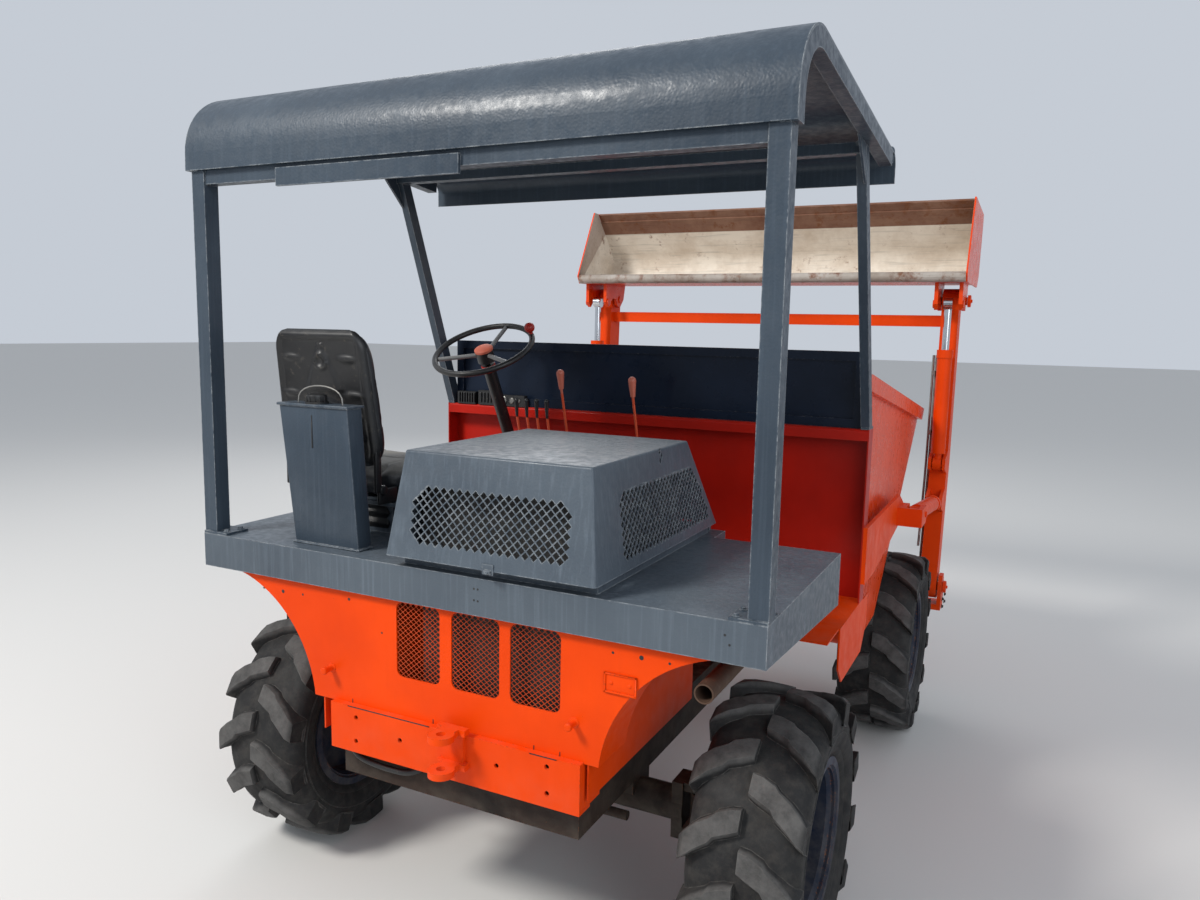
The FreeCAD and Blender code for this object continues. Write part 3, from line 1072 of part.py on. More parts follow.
ear_outline = [
    (CROWD_PIN[0] - 28, BUCKET_LIP[1] + 2), (CROWD_PIN[0] - 28, CROWD_PIN[1]), (CROWD_PIN[0], CROWD_PIN[1] - 28),
    (CROWD_PIN[0] + 28, CROWD_PIN[1]), (CROWD_PIN[0] + 55, ARM_TIP[1] + 2), (ARM_TIP[0] - 50, ARM_TIP[1] + 2),
    (ARM_TIP[0] - 36, ARM_TIP[1] - 34), (ARM_TIP[0], ARM_TIP[1] - 48), (ARM_TIP[0] + 48, ARM_TIP[1]),
    (ARM_TIP[0] + 70, BUCKET_LIP[1] + 2),
]
inner_ear_x = ARM_X - ARM_W / 2.0 - EAR_GAP - EAR_T
outer_ear_x = ARM_X + ARM_W / 2.0 + EAR_GAP
bucket_ears = []
for x in (inner_ear_x, outer_ear_x):
    bucket_ears.append(side_plate(ear_outline, x, x + EAR_T))
bucket_ears.append(rod(inner_ear_x - 6, outer_ear_x + EAR_T + 6, ARM_TIP[0], ARM_TIP[1], ARM_PIN_R))
bucket_ears.append(rod(inner_ear_x - 6, inner_ear_x + 2, CROWD_PIN[0], CROWD_PIN[1], 20.0))
bucket_ears.append(rod(outer_ear_x + EAR_T - 2, outer_ear_x + EAR_T + 6, CROWD_PIN[0], CROWD_PIN[1], 20.0))
half_bucket = union(cheek, *bucket_ears)
save("bucket", union(shell, lip, edge_plate, *pair(half_bucket)))


os.makedirs("parts", exist_ok=True)
for node_name, solids in NODES.items():
    for solid in solids:
        solid.translate(vec(0, -ORIGIN_Y, 0))
    shape = solids[0] if len(solids) == 1 else Part.makeCompound(solids)
    shape.exportStep("parts/" + node_name + ".step")
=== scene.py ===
import math

import bmesh
import bpy
from mathutils import Matrix, Vector
from mathutils.geometry import tessellate_polygon


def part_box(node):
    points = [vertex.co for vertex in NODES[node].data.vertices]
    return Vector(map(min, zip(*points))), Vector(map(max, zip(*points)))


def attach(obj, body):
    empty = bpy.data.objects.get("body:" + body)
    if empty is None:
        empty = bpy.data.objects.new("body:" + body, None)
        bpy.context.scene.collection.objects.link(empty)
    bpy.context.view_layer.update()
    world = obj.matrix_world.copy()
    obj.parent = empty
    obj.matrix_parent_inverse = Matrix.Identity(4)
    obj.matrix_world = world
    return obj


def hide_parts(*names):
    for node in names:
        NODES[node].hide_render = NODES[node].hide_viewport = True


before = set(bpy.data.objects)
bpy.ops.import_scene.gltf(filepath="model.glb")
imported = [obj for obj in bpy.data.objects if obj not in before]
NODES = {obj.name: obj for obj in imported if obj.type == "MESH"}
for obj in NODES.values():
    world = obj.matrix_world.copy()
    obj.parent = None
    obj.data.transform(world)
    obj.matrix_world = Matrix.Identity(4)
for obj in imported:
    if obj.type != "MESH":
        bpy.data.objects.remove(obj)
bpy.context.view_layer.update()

# Looks of a self-loading site dumper: its paints, tyres, seat, small fasteners and dirt.
# Metres. X points to the machine's right, Y to its front, Z up, and the ground is at Z = 0.

DECK_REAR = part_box("deck")[0].y
PI = math.pi
SIDES = (-1.0, 1.0)
WHEELS = ("rear_left", "rear_right", "front_left", "front_right")
RIGHT = Vector((1.0, 0.0, 0.0))
AHEAD = Vector((0.0, 1.0, 0.0))
UP = Vector((0.0, 0.0, 1.0))


# Places are written from the deck's rear edge, as in the frame's source
def at(x, y, z):
    return Vector((x, DECK_REAR + y, z))


def middle(node):
    low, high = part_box(node)
    return (low + high) / 2.0


# Steering wheel: its middle, and its shaft, which leans back
WHEEL_MID = at(-0.520, 0.980, 1.715)
SHAFT_LEAN = math.radians(28.0)
SHAFT = Vector((0.0, -math.sin(SHAFT_LEAN), math.cos(SHAFT_LEAN)))

# Materials
DUST = (0.30, 0.25, 0.19)
BARE_STEEL = (0.32, 0.30, 0.28)
RUST = (0.16, 0.055, 0.02)
SIDE_BLUR = 0.0005
SKIN_LOW = 0.0025  # depths inside a folded sheet where its inner face begins to count, and counts in full
SKIN_HIGH = 0.0035


def opaque(colour):
    return (*colour, 1.0) if isinstance(colour, tuple) else colour


class Shader:
    """A node tree that is filled step by step."""

    def __init__(self, name):
        self.material = bpy.data.materials.new(name)
        self.material.use_nodes = True
        self.tree = self.material.node_tree
        self.out = self.tree.nodes["Principled BSDF"]
        self.coords = self.node("ShaderNodeTexCoord").outputs["Object"]

    def join(self, source, target):
        if hasattr(source, "is_output"):
            self.tree.links.new(source, target)
        else:
            target.default_value = source

    def node(self, kind, inputs=None, **values):
        made = self.tree.nodes.new(kind)
        for key, value in values.items():
            setattr(made, key, value)
        for key, source in (inputs or {}).items():
            self.join(source, made.inputs[key])
        return made

    def noise(self, scale, detail=3.0, rough=0.55, stretch=None):
        coords = self.vector("MULTIPLY", self.coords, stretch, "Vector") if stretch else self.coords
        inputs = {"Scale": scale, "Detail": detail, "Roughness": rough, "Vector": coords}
        return self.node("ShaderNodeTexNoise", inputs).outputs["Fac"]

    def cells(self, scale):
        inputs = {"Scale": scale, "Vector": self.coords}
        return self.node("ShaderNodeTexVoronoi", inputs, feature="SMOOTH_F1").outputs["Distance"]

    def ramp(self, value, low, high, out_low=0.0, out_high=1.0):
        inputs = {"Value": value, "From Min": low, "From Max": high, "To Min": out_low, "To Max": out_high}
        return self.node("ShaderNodeMapRange", inputs, clamp=True).outputs["Result"]

    def step(self, value, place, blur):
        """0 below a place and 1 above it."""
        return self.ramp(value, place - blur, place + blur)

    def math(self, operation, a, b=0.0):
        return self.node("ShaderNodeMath", {0: a, 1: b}, operation=operation).outputs[0]

    def times(self, a, b):
        return self.math("MULTIPLY", a, b)

    def plus(self, a, b):
        return self.math("ADD", a, b)

    def minus(self, a, b):
        return self.math("SUBTRACT", a, b)

    def larger(self, a, b):
        return self.math("MAXIMUM", a, b)

    def hypot(self, a, b):
        return self.math("SQRT", self.plus(self.times(a, a), self.times(b, b)))

    def vector(self, operation, a, b=(0.0, 0.0, 0.0), output="Value"):
        return self.node("ShaderNodeVectorMath", {0: a, 1: b}, operation=operation).outputs[output]

    def mix(self, factor, a, b):
        inputs = {0: factor, 6: opaque(a), 7: opaque(b)}
        return self.node("ShaderNodeMix", inputs, data_type="RGBA").outputs[2]

    def normal(self):
        return self.node("ShaderNodeNewGeometry").outputs["Normal"]

    def axis(self, index, vector=None):
        return self.node("ShaderNodeSeparateXYZ", {0: vector or self.coords}).outputs[index]

    def facing_up(self):
        return self.axis(2, self.normal())

    def edges(self, radius):
        bevel = self.node("ShaderNodeBevel", {"Radius": radius}, samples=4)
        return self.ramp(self.vector("DOT_PRODUCT", bevel.outputs[0], self.normal()), 0.995, 0.86)

    def beyond(self, line):
        """The depth past a plane along X, given by a point and a normal in Y and Z."""
        (y, z), (ny, nz) = line
        start = at(0.0, y, z)
        along = self.plus(self.times(self.axis(1), ny), self.times(self.axis(2), nz))
        return self.minus(along, start.y * ny + start.z * nz)

    def between_sides(self, half_width, blur_inside=0.0):
        far = self.math("ABSOLUTE", self.axis(0))
        return self.ramp(far, half_width + SIDE_BLUR, half_width - blur_inside)

    def bump(self, height, strength, distance):
        made = self.node("ShaderNodeBump", {"Strength": strength, "Distance": distance, "Height": height})
        if self.out.inputs["Normal"].is_linked:
            self.join(self.out.inputs["Normal"].links[0].from_socket, made.inputs["Normal"])
        self.join(made.outputs["Normal"], self.out.inputs["Normal"])

    def finish(self, colour, rough, metallic=0.0, coat=0.0, shine=0.5):
        looks = {"Base Color": opaque(colour), "Roughness": rough, "Metallic": metallic, "Coat Weight": coat,
                 "Coat Roughness": 0.12, "Specular IOR Level": shine}
        for key, source in looks.items():
            self.join(source, self.out.inputs[key])
        return self.material


def paint_layers(s, base, deep, rough, wear, dust_top, edge):
    """Two tones of paint, chips on the edges, dust low down and on what faces up."""
    colour = s.mix(s.ramp(s.noise(3.0, 4.0), 0.35, 0.68), base, deep)
    streaks = s.noise(60.0, 2.0, 0.6, (1.0, 1.0, 0.08))
    colour = s.mix(s.ramp(streaks, 0.45, 0.75, 0.0, 0.15), colour, deep)
    chips = s.times(s.edges(0.005), s.ramp(s.noise(90.0, 4.0, 0.7), 0.52, 0.64))
    spots = s.ramp(s.noise(34.0, 5.0, 0.75), 0.745 - wear * 0.05, 0.76 - wear * 0.05)
    damage = s.larger(s.times(chips, min(1.0, wear)), s.times(spots, 0.7))
    colour = s.mix(damage, colour, edge)
    low = s.ramp(s.axis(2), 0.72, 0.30, 0.0, 0.2)
    top = s.ramp(s.facing_up(), 0.5, 1.0, 0.0, dust_top)
    dust = s.times(s.larger(low, top), s.ramp(s.noise(14.0, 5.0, 0.65), 0.38, 0.72))
    colour = s.mix(dust, colour, DUST)
    gloss = s.ramp(s.noise(22.0), 0.3, 0.7, rough - 0.06, rough + 0.1)
    return colour, s.larger(gloss, s.times(s.larger(dust, damage), 0.8))


def paint(name, base, deep, rough, grain, depth, wear, dust, coat=0.0, edge=RUST):
    s = Shader(name)
    colour, roughness = paint_layers(s, base, deep, rough, wear, dust, edge)
    s.bump(s.noise(grain, 2.0), 0.5, depth)
    s.bump(s.noise(7.0, 2.0), 0.35, 0.004)
    return s.finish(colour, roughness, coat=coat, shine=0.12)


def hammered(name, base, deep, streak):
    """Hammered grey paint, with pale brush streaks down its upright faces."""
    s = Shader(name)
    colour = s.mix(s.ramp(s.noise(2.5, 4.0), 0.35, 0.7), base, deep)
    pale = tuple(min(1.0, 2.4 * c + 0.03) for c in base)
    streaks = s.ramp(s.noise(85.0, 3.0, 0.6, (1.0, 1.0, 0.035)), 0.5, 0.78, 0.0, streak)
    colour = s.mix(streaks, colour, pale)
    chips = s.times(s.edges(0.005), s.ramp(s.noise(40.0, 4.0, 0.7), 0.38, 0.6))
    colour = s.mix(s.times(chips, 0.7), colour, (0.38, 0.40, 0.41))
    top = s.ramp(s.facing_up(), 0.6, 1.0, 0.0, 0.05)
    dust = s.times(top, s.ramp(s.noise(9.0, 5.0, 0.7), 0.35, 0.7))
    colour = s.mix(dust, colour, (0.36, 0.34, 0.31))
    gloss = s.ramp(s.noise(40.0), 0.35, 0.65, 0.30, 0.50)
    s.bump(s.cells(150.0), 0.35, 0.0012)
    s.bump(s.noise(5.0, 2.0), 0.3, 0.004)
    return s.finish(colour, s.larger(gloss, s.times(dust, 0.8)), coat=0.05, shine=0.25)


def rubber(name):
    """Dark casing, and paler faces on top of the lugs: scuffs, and painted sunlight against the darker rubber
    between them.
    """
    s = Shader(name)
    front = middle("rim_front_left")
    rear = middle("rim_rear_left")
    along = s.math("ABSOLUTE", s.minus(s.axis(1), (front.y + rear.y) / 2.0))
    along = s.minus(along, (front.y - rear.y) / 2.0)
    radius = s.hypot(along, s.minus(s.axis(2), front.z))
    # Lug tops paler by radius: scuffs, and painted sunlight that stands against the darker rubber between the
    # lugs.
    scuffs_and_sunlight = s.ramp(s.noise(20.0, 5.0, 0.7), 0.3, 0.62, 0.25, 0.9)
    lug_top = s.times(s.ramp(radius, 0.380, 0.392), scuffs_and_sunlight)
    colour = s.mix(s.ramp(s.noise(6.0, 4.0), 0.35, 0.7), (0.010, 0.010, 0.011), (0.020, 0.020, 0.020))
    dusty = s.ramp(s.noise(26.0, 6.0, 0.7), 0.44, 0.76, 0.0, 0.45)
    colour = s.mix(dusty, colour, (0.070, 0.062, 0.054))
    colour = s.mix(lug_top, colour, (0.092, 0.089, 0.086))
    # Lighter lug edges: wear, and a painted highlight along them.
    wear_and_highlight = s.times(s.edges(0.004), s.ramp(s.noise(50.0, 3.0), 0.4, 0.65, 0.1, 0.6))
    colour = s.mix(wear_and_highlight, colour, (0.13, 0.122, 0.112))
    s.bump(s.noise(240.0, 3.0), 0.4, 0.0012)
    s.bump(s.noise(30.0, 4.0), 0.3, 0.003)
    return s.finish(colour, s.ramp(s.noise(15.0), 0.3, 0.7, 0.62, 0.88), shine=0.3)


def steel_layers(s, pale, brown, amount):
    """Rubbed, dusty steel with rust blooms and scratches."""
    colour = s.mix(s.ramp(s.noise(4.0, 6.0, 0.7), 0.4, 0.66), pale, brown)
    scratches = s.ramp(s.noise(90.0, 3.0, 0.6, (0.05, 1.0, 1.0)), 0.55, 0.7, 0.0, 0.5)
    colour = s.mix(scratches, colour, tuple(0.55 * c for c in pale))
    rust = s.ramp(s.noise(11.0, 6.0, 0.75), 0.62 - 0.1 * amount, 0.72 - 0.1 * amount, 0.0, 0.8)
    return s.mix(rust, colour, RUST), s.ramp(rust, 0.0, 1.0, 0.55, 0.85)


def outside_of_bend(s, corner, first, second, radius):
    """1 on a bend's outer face, which lies beyond the chord and at the full radius."""
    (ay, az), (by, bz) = first, second
    length = math.hypot(ay + by, az + bz)
    reach = 2.0 * radius / length ** 2
    centre = at(0.0, corner[0] + (ay + by) * reach, corner[1] + (az + bz) * reach)
    across = s.minus(s.axis(1), centre.y)
    rise = s.minus(s.axis(2), centre.z)
    away = s.plus(s.times(across, -(ay + by) / length), s.times(rise, -(az + bz) / length))
    chord = radius * length / 2.0
    full = s.ramp(s.hypot(across, rise), radius - SKIN_HIGH, radius - SKIN_LOW)
    return s.times(s.ramp(away, chord - 0.001, chord), full)


def inside_of(s, walls, half_width, bends):
    """1 on the faces that look into a folded sheet, whose walls give a point and the inward normal."""
    inside = s.between_sides(half_width)
    for wall in walls:
        inside = s.times(inside, s.ramp(s.beyond(wall), SKIN_LOW, SKIN_HIGH))
    for corner, (first, second), radius in bends:
        outer = outside_of_bend(s, corner, walls[first][1], walls[second][1], radius)
        inside = s.times(inside, s.minus(1.0, outer))
    return inside


def laid_over(s, under, mask, over):
    """A second colour and roughness, laid over the first where the mask is 1."""
    return s.mix(mask, under[0], over[0]), s.larger(under[1], s.times(mask, over[1]))


def lined_paint(name, pale, brown, amount, walls, half_width, bends, strip=None, tube_y=None):
    """Orange outside and rubbed steel inside, a rusty strip past one line and bare steel behind tube_y."""
    s = Shader(name)
    layers = paint_layers(s, ORANGE_BASE, ORANGE_DEEP, 0.28, 0.8, 0.2, RUST)
    inside = inside_of(s, walls, half_width, bends)
    layers = laid_over(s, layers, inside, steel_layers(s, pale, brown, amount))
    if strip:
        mask = s.times(s.step(s.beyond(strip), 0.0, 0.002), s.between_sides(half_width, SIDE_BLUR))
        layers = laid_over(s, layers, mask, steel_layers(s, (0.22, 0.115, 0.075), (0.13, 0.05, 0.03), 1.0))
    if tube_y:
        edge_y = at(0.0, tube_y, 0.0).y
        mask = s.times(s.ramp(s.axis(1), edge_y, edge_y - SIDE_BLUR), s.between_sides(half_width))
        mask = s.times(mask, s.ramp(s.noise(12.0, 5.0, 0.7), 0.34, 0.5))
        layers = laid_over(s, layers, mask, steel_layers(s, (0.42, 0.38, 0.34), (0.27, 0.22, 0.18), 0.6))
    s.bump(s.noise(60.0, 4.0), 0.4, 0.001)
    s.bump(s.noise(8.0, 3.0), 0.45, 0.005)
    return s.finish(*layers, shine=0.3)


def plain(name, colour, rough, metallic=0.0, grain=200.0, depth=0.0006, vary=0.35):
    s = Shader(name)
    dark = tuple(c * (1.0 - vary) for c in colour)
    mixed = s.mix(s.ramp(s.noise(12.0, 5.0, 0.65), 0.35, 0.68), colour, dark)
    mixed = s.mix(s.ramp(s.noise(45.0, 4.0, 0.7), 0.6, 0.78, 0.0, 0.3), mixed, DUST)
    s.bump(s.noise(grain, 3.0), 0.4, depth)
    gloss = s.ramp(s.noise(30.0), 0.3, 0.7, max(0.05, rough - 0.08), rough + 0.1)
    return s.finish(mixed, gloss, metallic)


def dusty_vinyl(name):
    """Black vinyl with a pale layer of dust on what faces up."""
    s = Shader(name)
    top = s.ramp(s.facing_up(), 0.35, 0.95)
    dust = s.times(top, s.ramp(s.noise(16.0, 5.0, 0.7), 0.25, 0.62, 0.45, 0.95))
    colour = s.mix(dust, (0.014, 0.015, 0.018), (0.24, 0.225, 0.20))
    s.bump(s.cells(260.0), 0.4, 0.0006)
    s.bump(s.noise(9.0, 3.0), 0.4, 0.004)
    return s.finish(colour, s.ramp(dust, 0.0, 1.0, 0.42, 0.8))


LEVER_FOOT = 1.333  # heights, and the X that parts the short levers from the long ones
KNOB_FOOT = 1.454
GRIP_FOOT = 1.552
SHORT_LEVERS_X = -0.270


def lever_paint(name):
    """Red console; orange rods, black short knobs and salmon long grips by height."""
    s = Shader(name)
    colour, roughness = paint_layers(s, (0.56, 0.026, 0.007), (0.42, 0.020, 0.007), 0.34, 0.7, 0.2, RUST)
    colour = s.mix(s.step(s.axis(2), LEVER_FOOT, 0.001), colour, (0.62, 0.085, 0.03))
    short = s.times(s.step(s.axis(2), KNOB_FOOT, 0.002), s.step(s.axis(0), SHORT_LEVERS_X, -0.002))
    colour = s.mix(short, colour, (0.015, 0.015, 0.016))
    colour = s.mix(s.step(s.axis(2), GRIP_FOOT, 0.004), colour, (0.56, 0.15, 0.095))
    s.bump(s.noise(120.0, 2.0), 0.3, 0.0005)
    return s.finish(colour, roughness)


def wheel_paint(name):
    """Black rim and boss, grey spokes and a red knob, by the distance from the shaft and along it."""
    s = Shader(name)
    offset = s.vector("SUBTRACT", s.coords, WHEEL_MID, "Vector")
    height = s.vector("DOT_PRODUCT", offset, SHAFT)
    length = s.vector("LENGTH", offset)
    radius = s.math("SQRT", s.larger(s.minus(s.times(length, length), s.times(height, height)), 0.0))
    spoke = s.times(s.ramp(radius, 0.034, 0.036), s.ramp(radius, 0.177, 0.174))
    knob = s.times(s.ramp(height, 0.0125, 0.014), s.ramp(radius, 0.12, 0.13))
    colour = s.mix(s.ramp(s.noise(30.0, 4.0), 0.4, 0.7), (0.014, 0.014, 0.015), (0.028, 0.027, 0.026))
    colour = s.mix(spoke, colour, (0.17, 0.17, 0.17))
    colour = s.mix(knob, colour, (0.42, 0.02, 0.012))
    s.bump(s.noise(200.0, 3.0), 0.35, 0.0004)
    return s.finish(colour, s.ramp(s.noise(25.0), 0.3, 0.7, 0.3, 0.5))


# Inner walls: a point and the inward normal, in Y and Z. Bends: a corner, its two walls and the radius.
BUCKET_HALF = 1.0270
BUCKET_WALLS = [((2.720, 2.053), (0.0, 1.0)), ((3.330, 2.053), (-0.7225, -0.6914))]
BUCKET_BENDS = [((3.330, 2.053), (0, 1), 0.115)]
BUCKET_STRIP = ((3.037, 2.359), (-0.6914, 0.7225))
BUCKET_TUBE_Y = 2.748
SKIP_HALF = 0.8325
SKIP_WALLS = [((1.372, 1.660), (0.9995, 0.0320)), ((1.405, 0.630), (-0.0270, 0.9996)),
              ((1.850, 0.642), (-0.6002, 0.7998))]
SKIP_BENDS = [((1.405, 0.630), (0, 1), 0.060), ((1.850, 0.642), (1, 2), 0.090)]

# Paints: name, two tones, roughness, scale and depth of the grain, wear, dust on top
ORANGE_BASE = (0.78, 0.058, 0.001)
ORANGE_DEEP = (0.66, 0.045, 0.001)
ORANGE = paint("orange_paint", ORANGE_BASE, ORANGE_DEEP, 0.42, 55.0, 0.0008, 0.7, 0.12)
# Chassis paint: its own dark grey-brown, darkened further to near black as painted shade under the rear bar.
CHASSIS = paint("chassis_paint", (0.040, 0.026, 0.020), (0.020, 0.018, 0.017), 0.6, 60.0, 0.001, 1.0, 0.4)
RED = paint("bulkhead_paint", (0.44, 0.012, 0.005), (0.32, 0.010, 0.005), 0.38, 50.0, 0.0008, 0.6, 0.12, 0.05)
NAVY = paint("navy_paint", (0.010, 0.017, 0.034), (0.006, 0.010, 0.020), 0.30, 60.0, 0.0007, 0.3, 0.06,
             0.1, BARE_STEEL)
RIM = paint("rim_paint", (0.018, 0.026, 0.048), (0.010, 0.014, 0.026), 0.38, 60.0, 0.0008, 0.9, 0.3)
MESH = paint("mesh_paint", (0.50, 0.055, 0.012), (0.22, 0.03, 0.01), 0.45, 90.0, 0.0006, 1.0, 0.2)
GREY = hammered("hammered_grey", (0.082, 0.102, 0.124), (0.054, 0.069, 0.088), 0.2)
CANOPY = hammered("canopy_grey", (0.046, 0.063, 0.084), (0.028, 0.041, 0.058), 0.12)
RUBBER = rubber("tyre_rubber")
BUCKET_PAINT = lined_paint("bucket_paint", (0.72, 0.65, 0.56), (0.54, 0.45, 0.36), 0.2,
                           BUCKET_WALLS, BUCKET_HALF, BUCKET_BENDS, BUCKET_STRIP, BUCKET_TUBE_Y)
SKIP_PAINT = lined_paint("skip_paint", (0.40, 0.31, 0.25), (0.38, 0.12, 0.05), 0.8,
                         SKIP_WALLS, SKIP_HALF, SKIP_BENDS)
CHROME = plain("chrome_rod", (0.62, 0.63, 0.65), 0.12, 1.0, 300.0, 0.0001, 0.1)
ENGINE = plain("engine_iron", (0.035, 0.034, 0.033), 0.6, 0.3)
RUSTY = plain("exhaust_steel", (0.10, 0.055, 0.035), 0.75, 0.4)
VINYL = plain("seat_vinyl", (0.012, 0.013, 0.016), 0.42, 0.0, 420.0, 0.0005, 0.3)
CUSHION_VINYL = dusty_vinyl("cushion_vinyl")
BLACK = plain("black_plastic", (0.014, 0.014, 0.015), 0.4, 0.0, 260.0, 0.0003)
FADED = plain("hub_cap", (0.62, 0.14, 0.08), 0.55, vary=0.2)
STEEL = plain("zinc_steel", (0.34, 0.33, 0.31), 0.4, 0.9)
LEVER_PAINT = lever_paint("lever_paint")
WHEEL_PAINT = wheel_paint("steering_wheel_paint")
NODE_MATERIALS = {
    LEVER_PAINT: ["lever_console"],
    WHEEL_PAINT: ["steering_wheel"],
    ORANGE: ["rear_panel", "tow_hitch", "footwell", "arm_brackets", "lift_arms", "lift_barrels",
             "crowd_barrels", "engine_bay"],
    BUCKET_PAINT: ["bucket"],
    SKIP_PAINT: ["skip"],
    RED: ["bulkhead"],
    CHASSIS: ["chassis_frame", "rear_axle", "front_axle", "knuckle_left", "knuckle_right", "tip_barrel",
              "steering_cylinder"],
    MESH: ["rear_grilles"],
    GREY: ["deck", "hood", "hood_mesh", "seat_base"],
    CANOPY: ["canopy_frame", "canopy_roof", "side_tank"],
    NAVY: ["guard_panel"],
    RIM: ["rim_" + wheel for wheel in WHEELS],
    RUBBER: ["tyre_" + wheel for wheel in WHEELS],
    ENGINE: ["engine_block"],
    RUSTY: ["exhaust"],
    VINYL: ["seat_cushion", "seat_back"],
    BLACK: ["steering_column", "dash_boxes"],
    CHROME: ["lift_rods", "crowd_rods", "tip_rod"],
}
for material, names in NODE_MATERIALS.items():
    for name in names:
        NODES[name].data.materials.clear()
        NODES[name].data.materials.append(material)


# Mesh helpers
def linked(name, data):
    obj = bpy.data.objects.new(name, data)
    bpy.context.scene.collection.objects.link(obj)
    return obj


def mesh_of(name, verts, faces):
    mesh = bpy.data.meshes.new(name)
    mesh.from_pydata([tuple(v) for v in verts], [], faces)
    return mesh


def clean(mesh, gap):
    """Joins doubled points and turns the faces outwards."""
    work = bmesh.new()
    work.from_mesh(mesh)
    bmesh.ops.remove_doubles(work, verts=work.verts, dist=gap)
    bmesh.ops.recalc_face_normals(work, faces=work.faces)
    work.to_mesh(mesh)
    work.free()


def new_piece(name, verts, faces, material, body, smooth=False):
    mesh = mesh_of(name, verts, faces)
    mesh.validate()
    obj = linked(name, mesh)
    mesh.materials.append(material)
    clean(mesh, 1e-6)
    for polygon in mesh.polygons:
        polygon.use_smooth = smooth
    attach(obj, body)
    return obj


def apply_modifiers(obj):
    bpy.context.view_layer.update()
    graph = bpy.context.evaluated_depsgraph_get()
    mesh = bpy.data.meshes.new_from_object(obj.evaluated_get(graph))
    obj.modifiers.clear()
    obj.data = mesh


SHARP = 35.0  # degrees
QUAD = [[0, 1, 2, 3]]
SQUARE = ((-1, -1), (1, -1), (1, 1), (-1, 1))


def bevelled(obj, width, segments):
    modifier = obj.modifiers.new("bevel", "BEVEL")
    modifier.width = width
    modifier.segments = segments
    modifier.limit_method = "ANGLE"
    modifier.angle_limit = math.radians(SHARP)
    apply_modifiers(obj)


def shade_by_angle(obj, angle):
    for polygon in obj.data.polygons:
        polygon.use_smooth = True
    obj.data.set_sharp_from_angle(angle=math.radians(angle))


def circle(centre, side, other, radius, count):
    """Points round a centre, in the plane of two unit vectors."""
    turns = [2.0 * PI * k / count for k in range(count)]
    return [centre + (side * math.cos(a) + other * math.sin(a)) * radius for a in turns]


def ring_faces(rows, count, closed=False):
    """Quads between rows of points that go round; closed joins the last row to the first."""
    faces = []
    for row in range(rows if closed else rows - 1):
        a = row * count
        b = (row + 1) % rows * count
        for k in range(count):
            n = (k + 1) % count
            faces.append([a + k, a + n, b + n, b + k])
    return faces


def capped_faces(rows, count):
    last = (rows - 1) * count
    return ring_faces(rows, count) + [list(range(count))[::-1], [last + k for k in range(count)]]


def corners_of(level):
    """The four corners of a level rectangle, given as x0, x1, y0, y1 and z."""
    x0, x1, y0, y1, z = level
    return [at(x, y, z) for x, y in ((x0, y0), (x1, y0), (x1, y1), (x0, y1))]


class Parts:
    """Collects many small closed forms into one mesh."""

    def __init__(self):
        self.verts = []
        self.faces = []

    def add(self, verts, faces):
        base = len(self.verts)
        self.verts += [Vector(v) for v in verts]
        self.faces += [[base + i for i in face] for face in faces]

    def lathe(self, start, axis, profile, sides):
        """A closed turned form: its profile lists distance along the axis and radius."""
        axis = axis.normalized()
        side = axis.orthogonal().normalized()
        other = axis.cross(side)
        verts = []
        for along, radius in profile:
            verts += circle(start + axis * along, side, other, radius, sides)
        self.add(verts, capped_faces(len(profile), sides))

    def rod(self, start, axis, radius, length, sides):
        self.lathe(start, axis, [(0.0, radius), (length, radius)], sides)

    def bolt(self, place, axis, size):
        washer = size * 1.05
        head = size * 0.72
        self.lathe(place, axis, [(-0.001, washer), (size * 0.18, washer), (size * 0.2, size * 0.98)], 16)
        self.lathe(place, axis, [(0.0, head), (size * 0.62, head), (size * 0.75, size * 0.6)], 6)

    def block(self, low, high):
        x0, y0, z0 = low
        x1, y1, z1 = high
        self.add([(x, y, z) for z in (z0, z1) for x, y in ((x0, y0), (x1, y0), (x1, y1), (x0, y1))],
                 capped_faces(2, 4))

    def piece(self, name, material, body="machine", bevel=0.0, segments=2, angle=None):
        obj = new_piece(name, self.verts, self.faces, material, body)
        if bevel:
            bevelled(obj, bevel, segments)
        if angle:
            shade_by_angle(obj, angle)
        return obj


# Tyres: a turned carcass with sidewall ribs and stepped chevron lugs
TYRE_R = 0.400
TYRE_SIDES = 104
BEAD_X = 0.122
BORE_R = 0.1965
LUG_COUNT = 13
LUG_ROUND = 0.004
LUG_START = -85.0  # degrees
SHOULDER_X = 0.150
DISC_INSET = 0.034
NUT_COUNT = 8
NUT_CIRCLE_R = 0.100
SIDEWALL = [  # x, radius, over the outer skin from the bead
    (0.122, 0.200), (0.124, 0.232), (0.134, 0.244), (0.138, 0.250), (0.1385, 0.256), (0.144, 0.262),
    (0.151, 0.285), (0.1535, 0.300), (0.1505, 0.303), (0.152, 0.312),
]
CROWN = [  # x, radius, on to the middle of the tread
    (0.150, 0.330), (0.142, 0.345), (0.128, 0.358), (0.110, 0.367), (0.080, 0.372), (0.040, 0.3735),
    (0.0, 0.374),
]
LUG_STATIONS = [  # x, sweep in degrees, top radius, half width in degrees
    (0.004, 0.0, 0.3985, 4.2), (0.030, 1.2, 0.400, 4.8), (0.066, 3.4, 0.400, 4.8),
    (0.078, 5.6, 0.400, 5.0), (0.112, 8.8, 0.399, 5.2), (0.140, 12.4, 0.395, 5.2),
    (0.157, 14.6, 0.382, 4.8), (0.1565, 16.0, 0.352, 3.8), (0.151, 17.0, 0.325, 2.6),
]


def crown_radius(x):
    for (x0, r0), (x1, r1) in zip(CROWN, CROWN[1:]):
        if x1 <= x <= x0:
            return r0 + (r1 - r0) * (x - x0) / (x1 - x0)
    return CROWN[0][1]


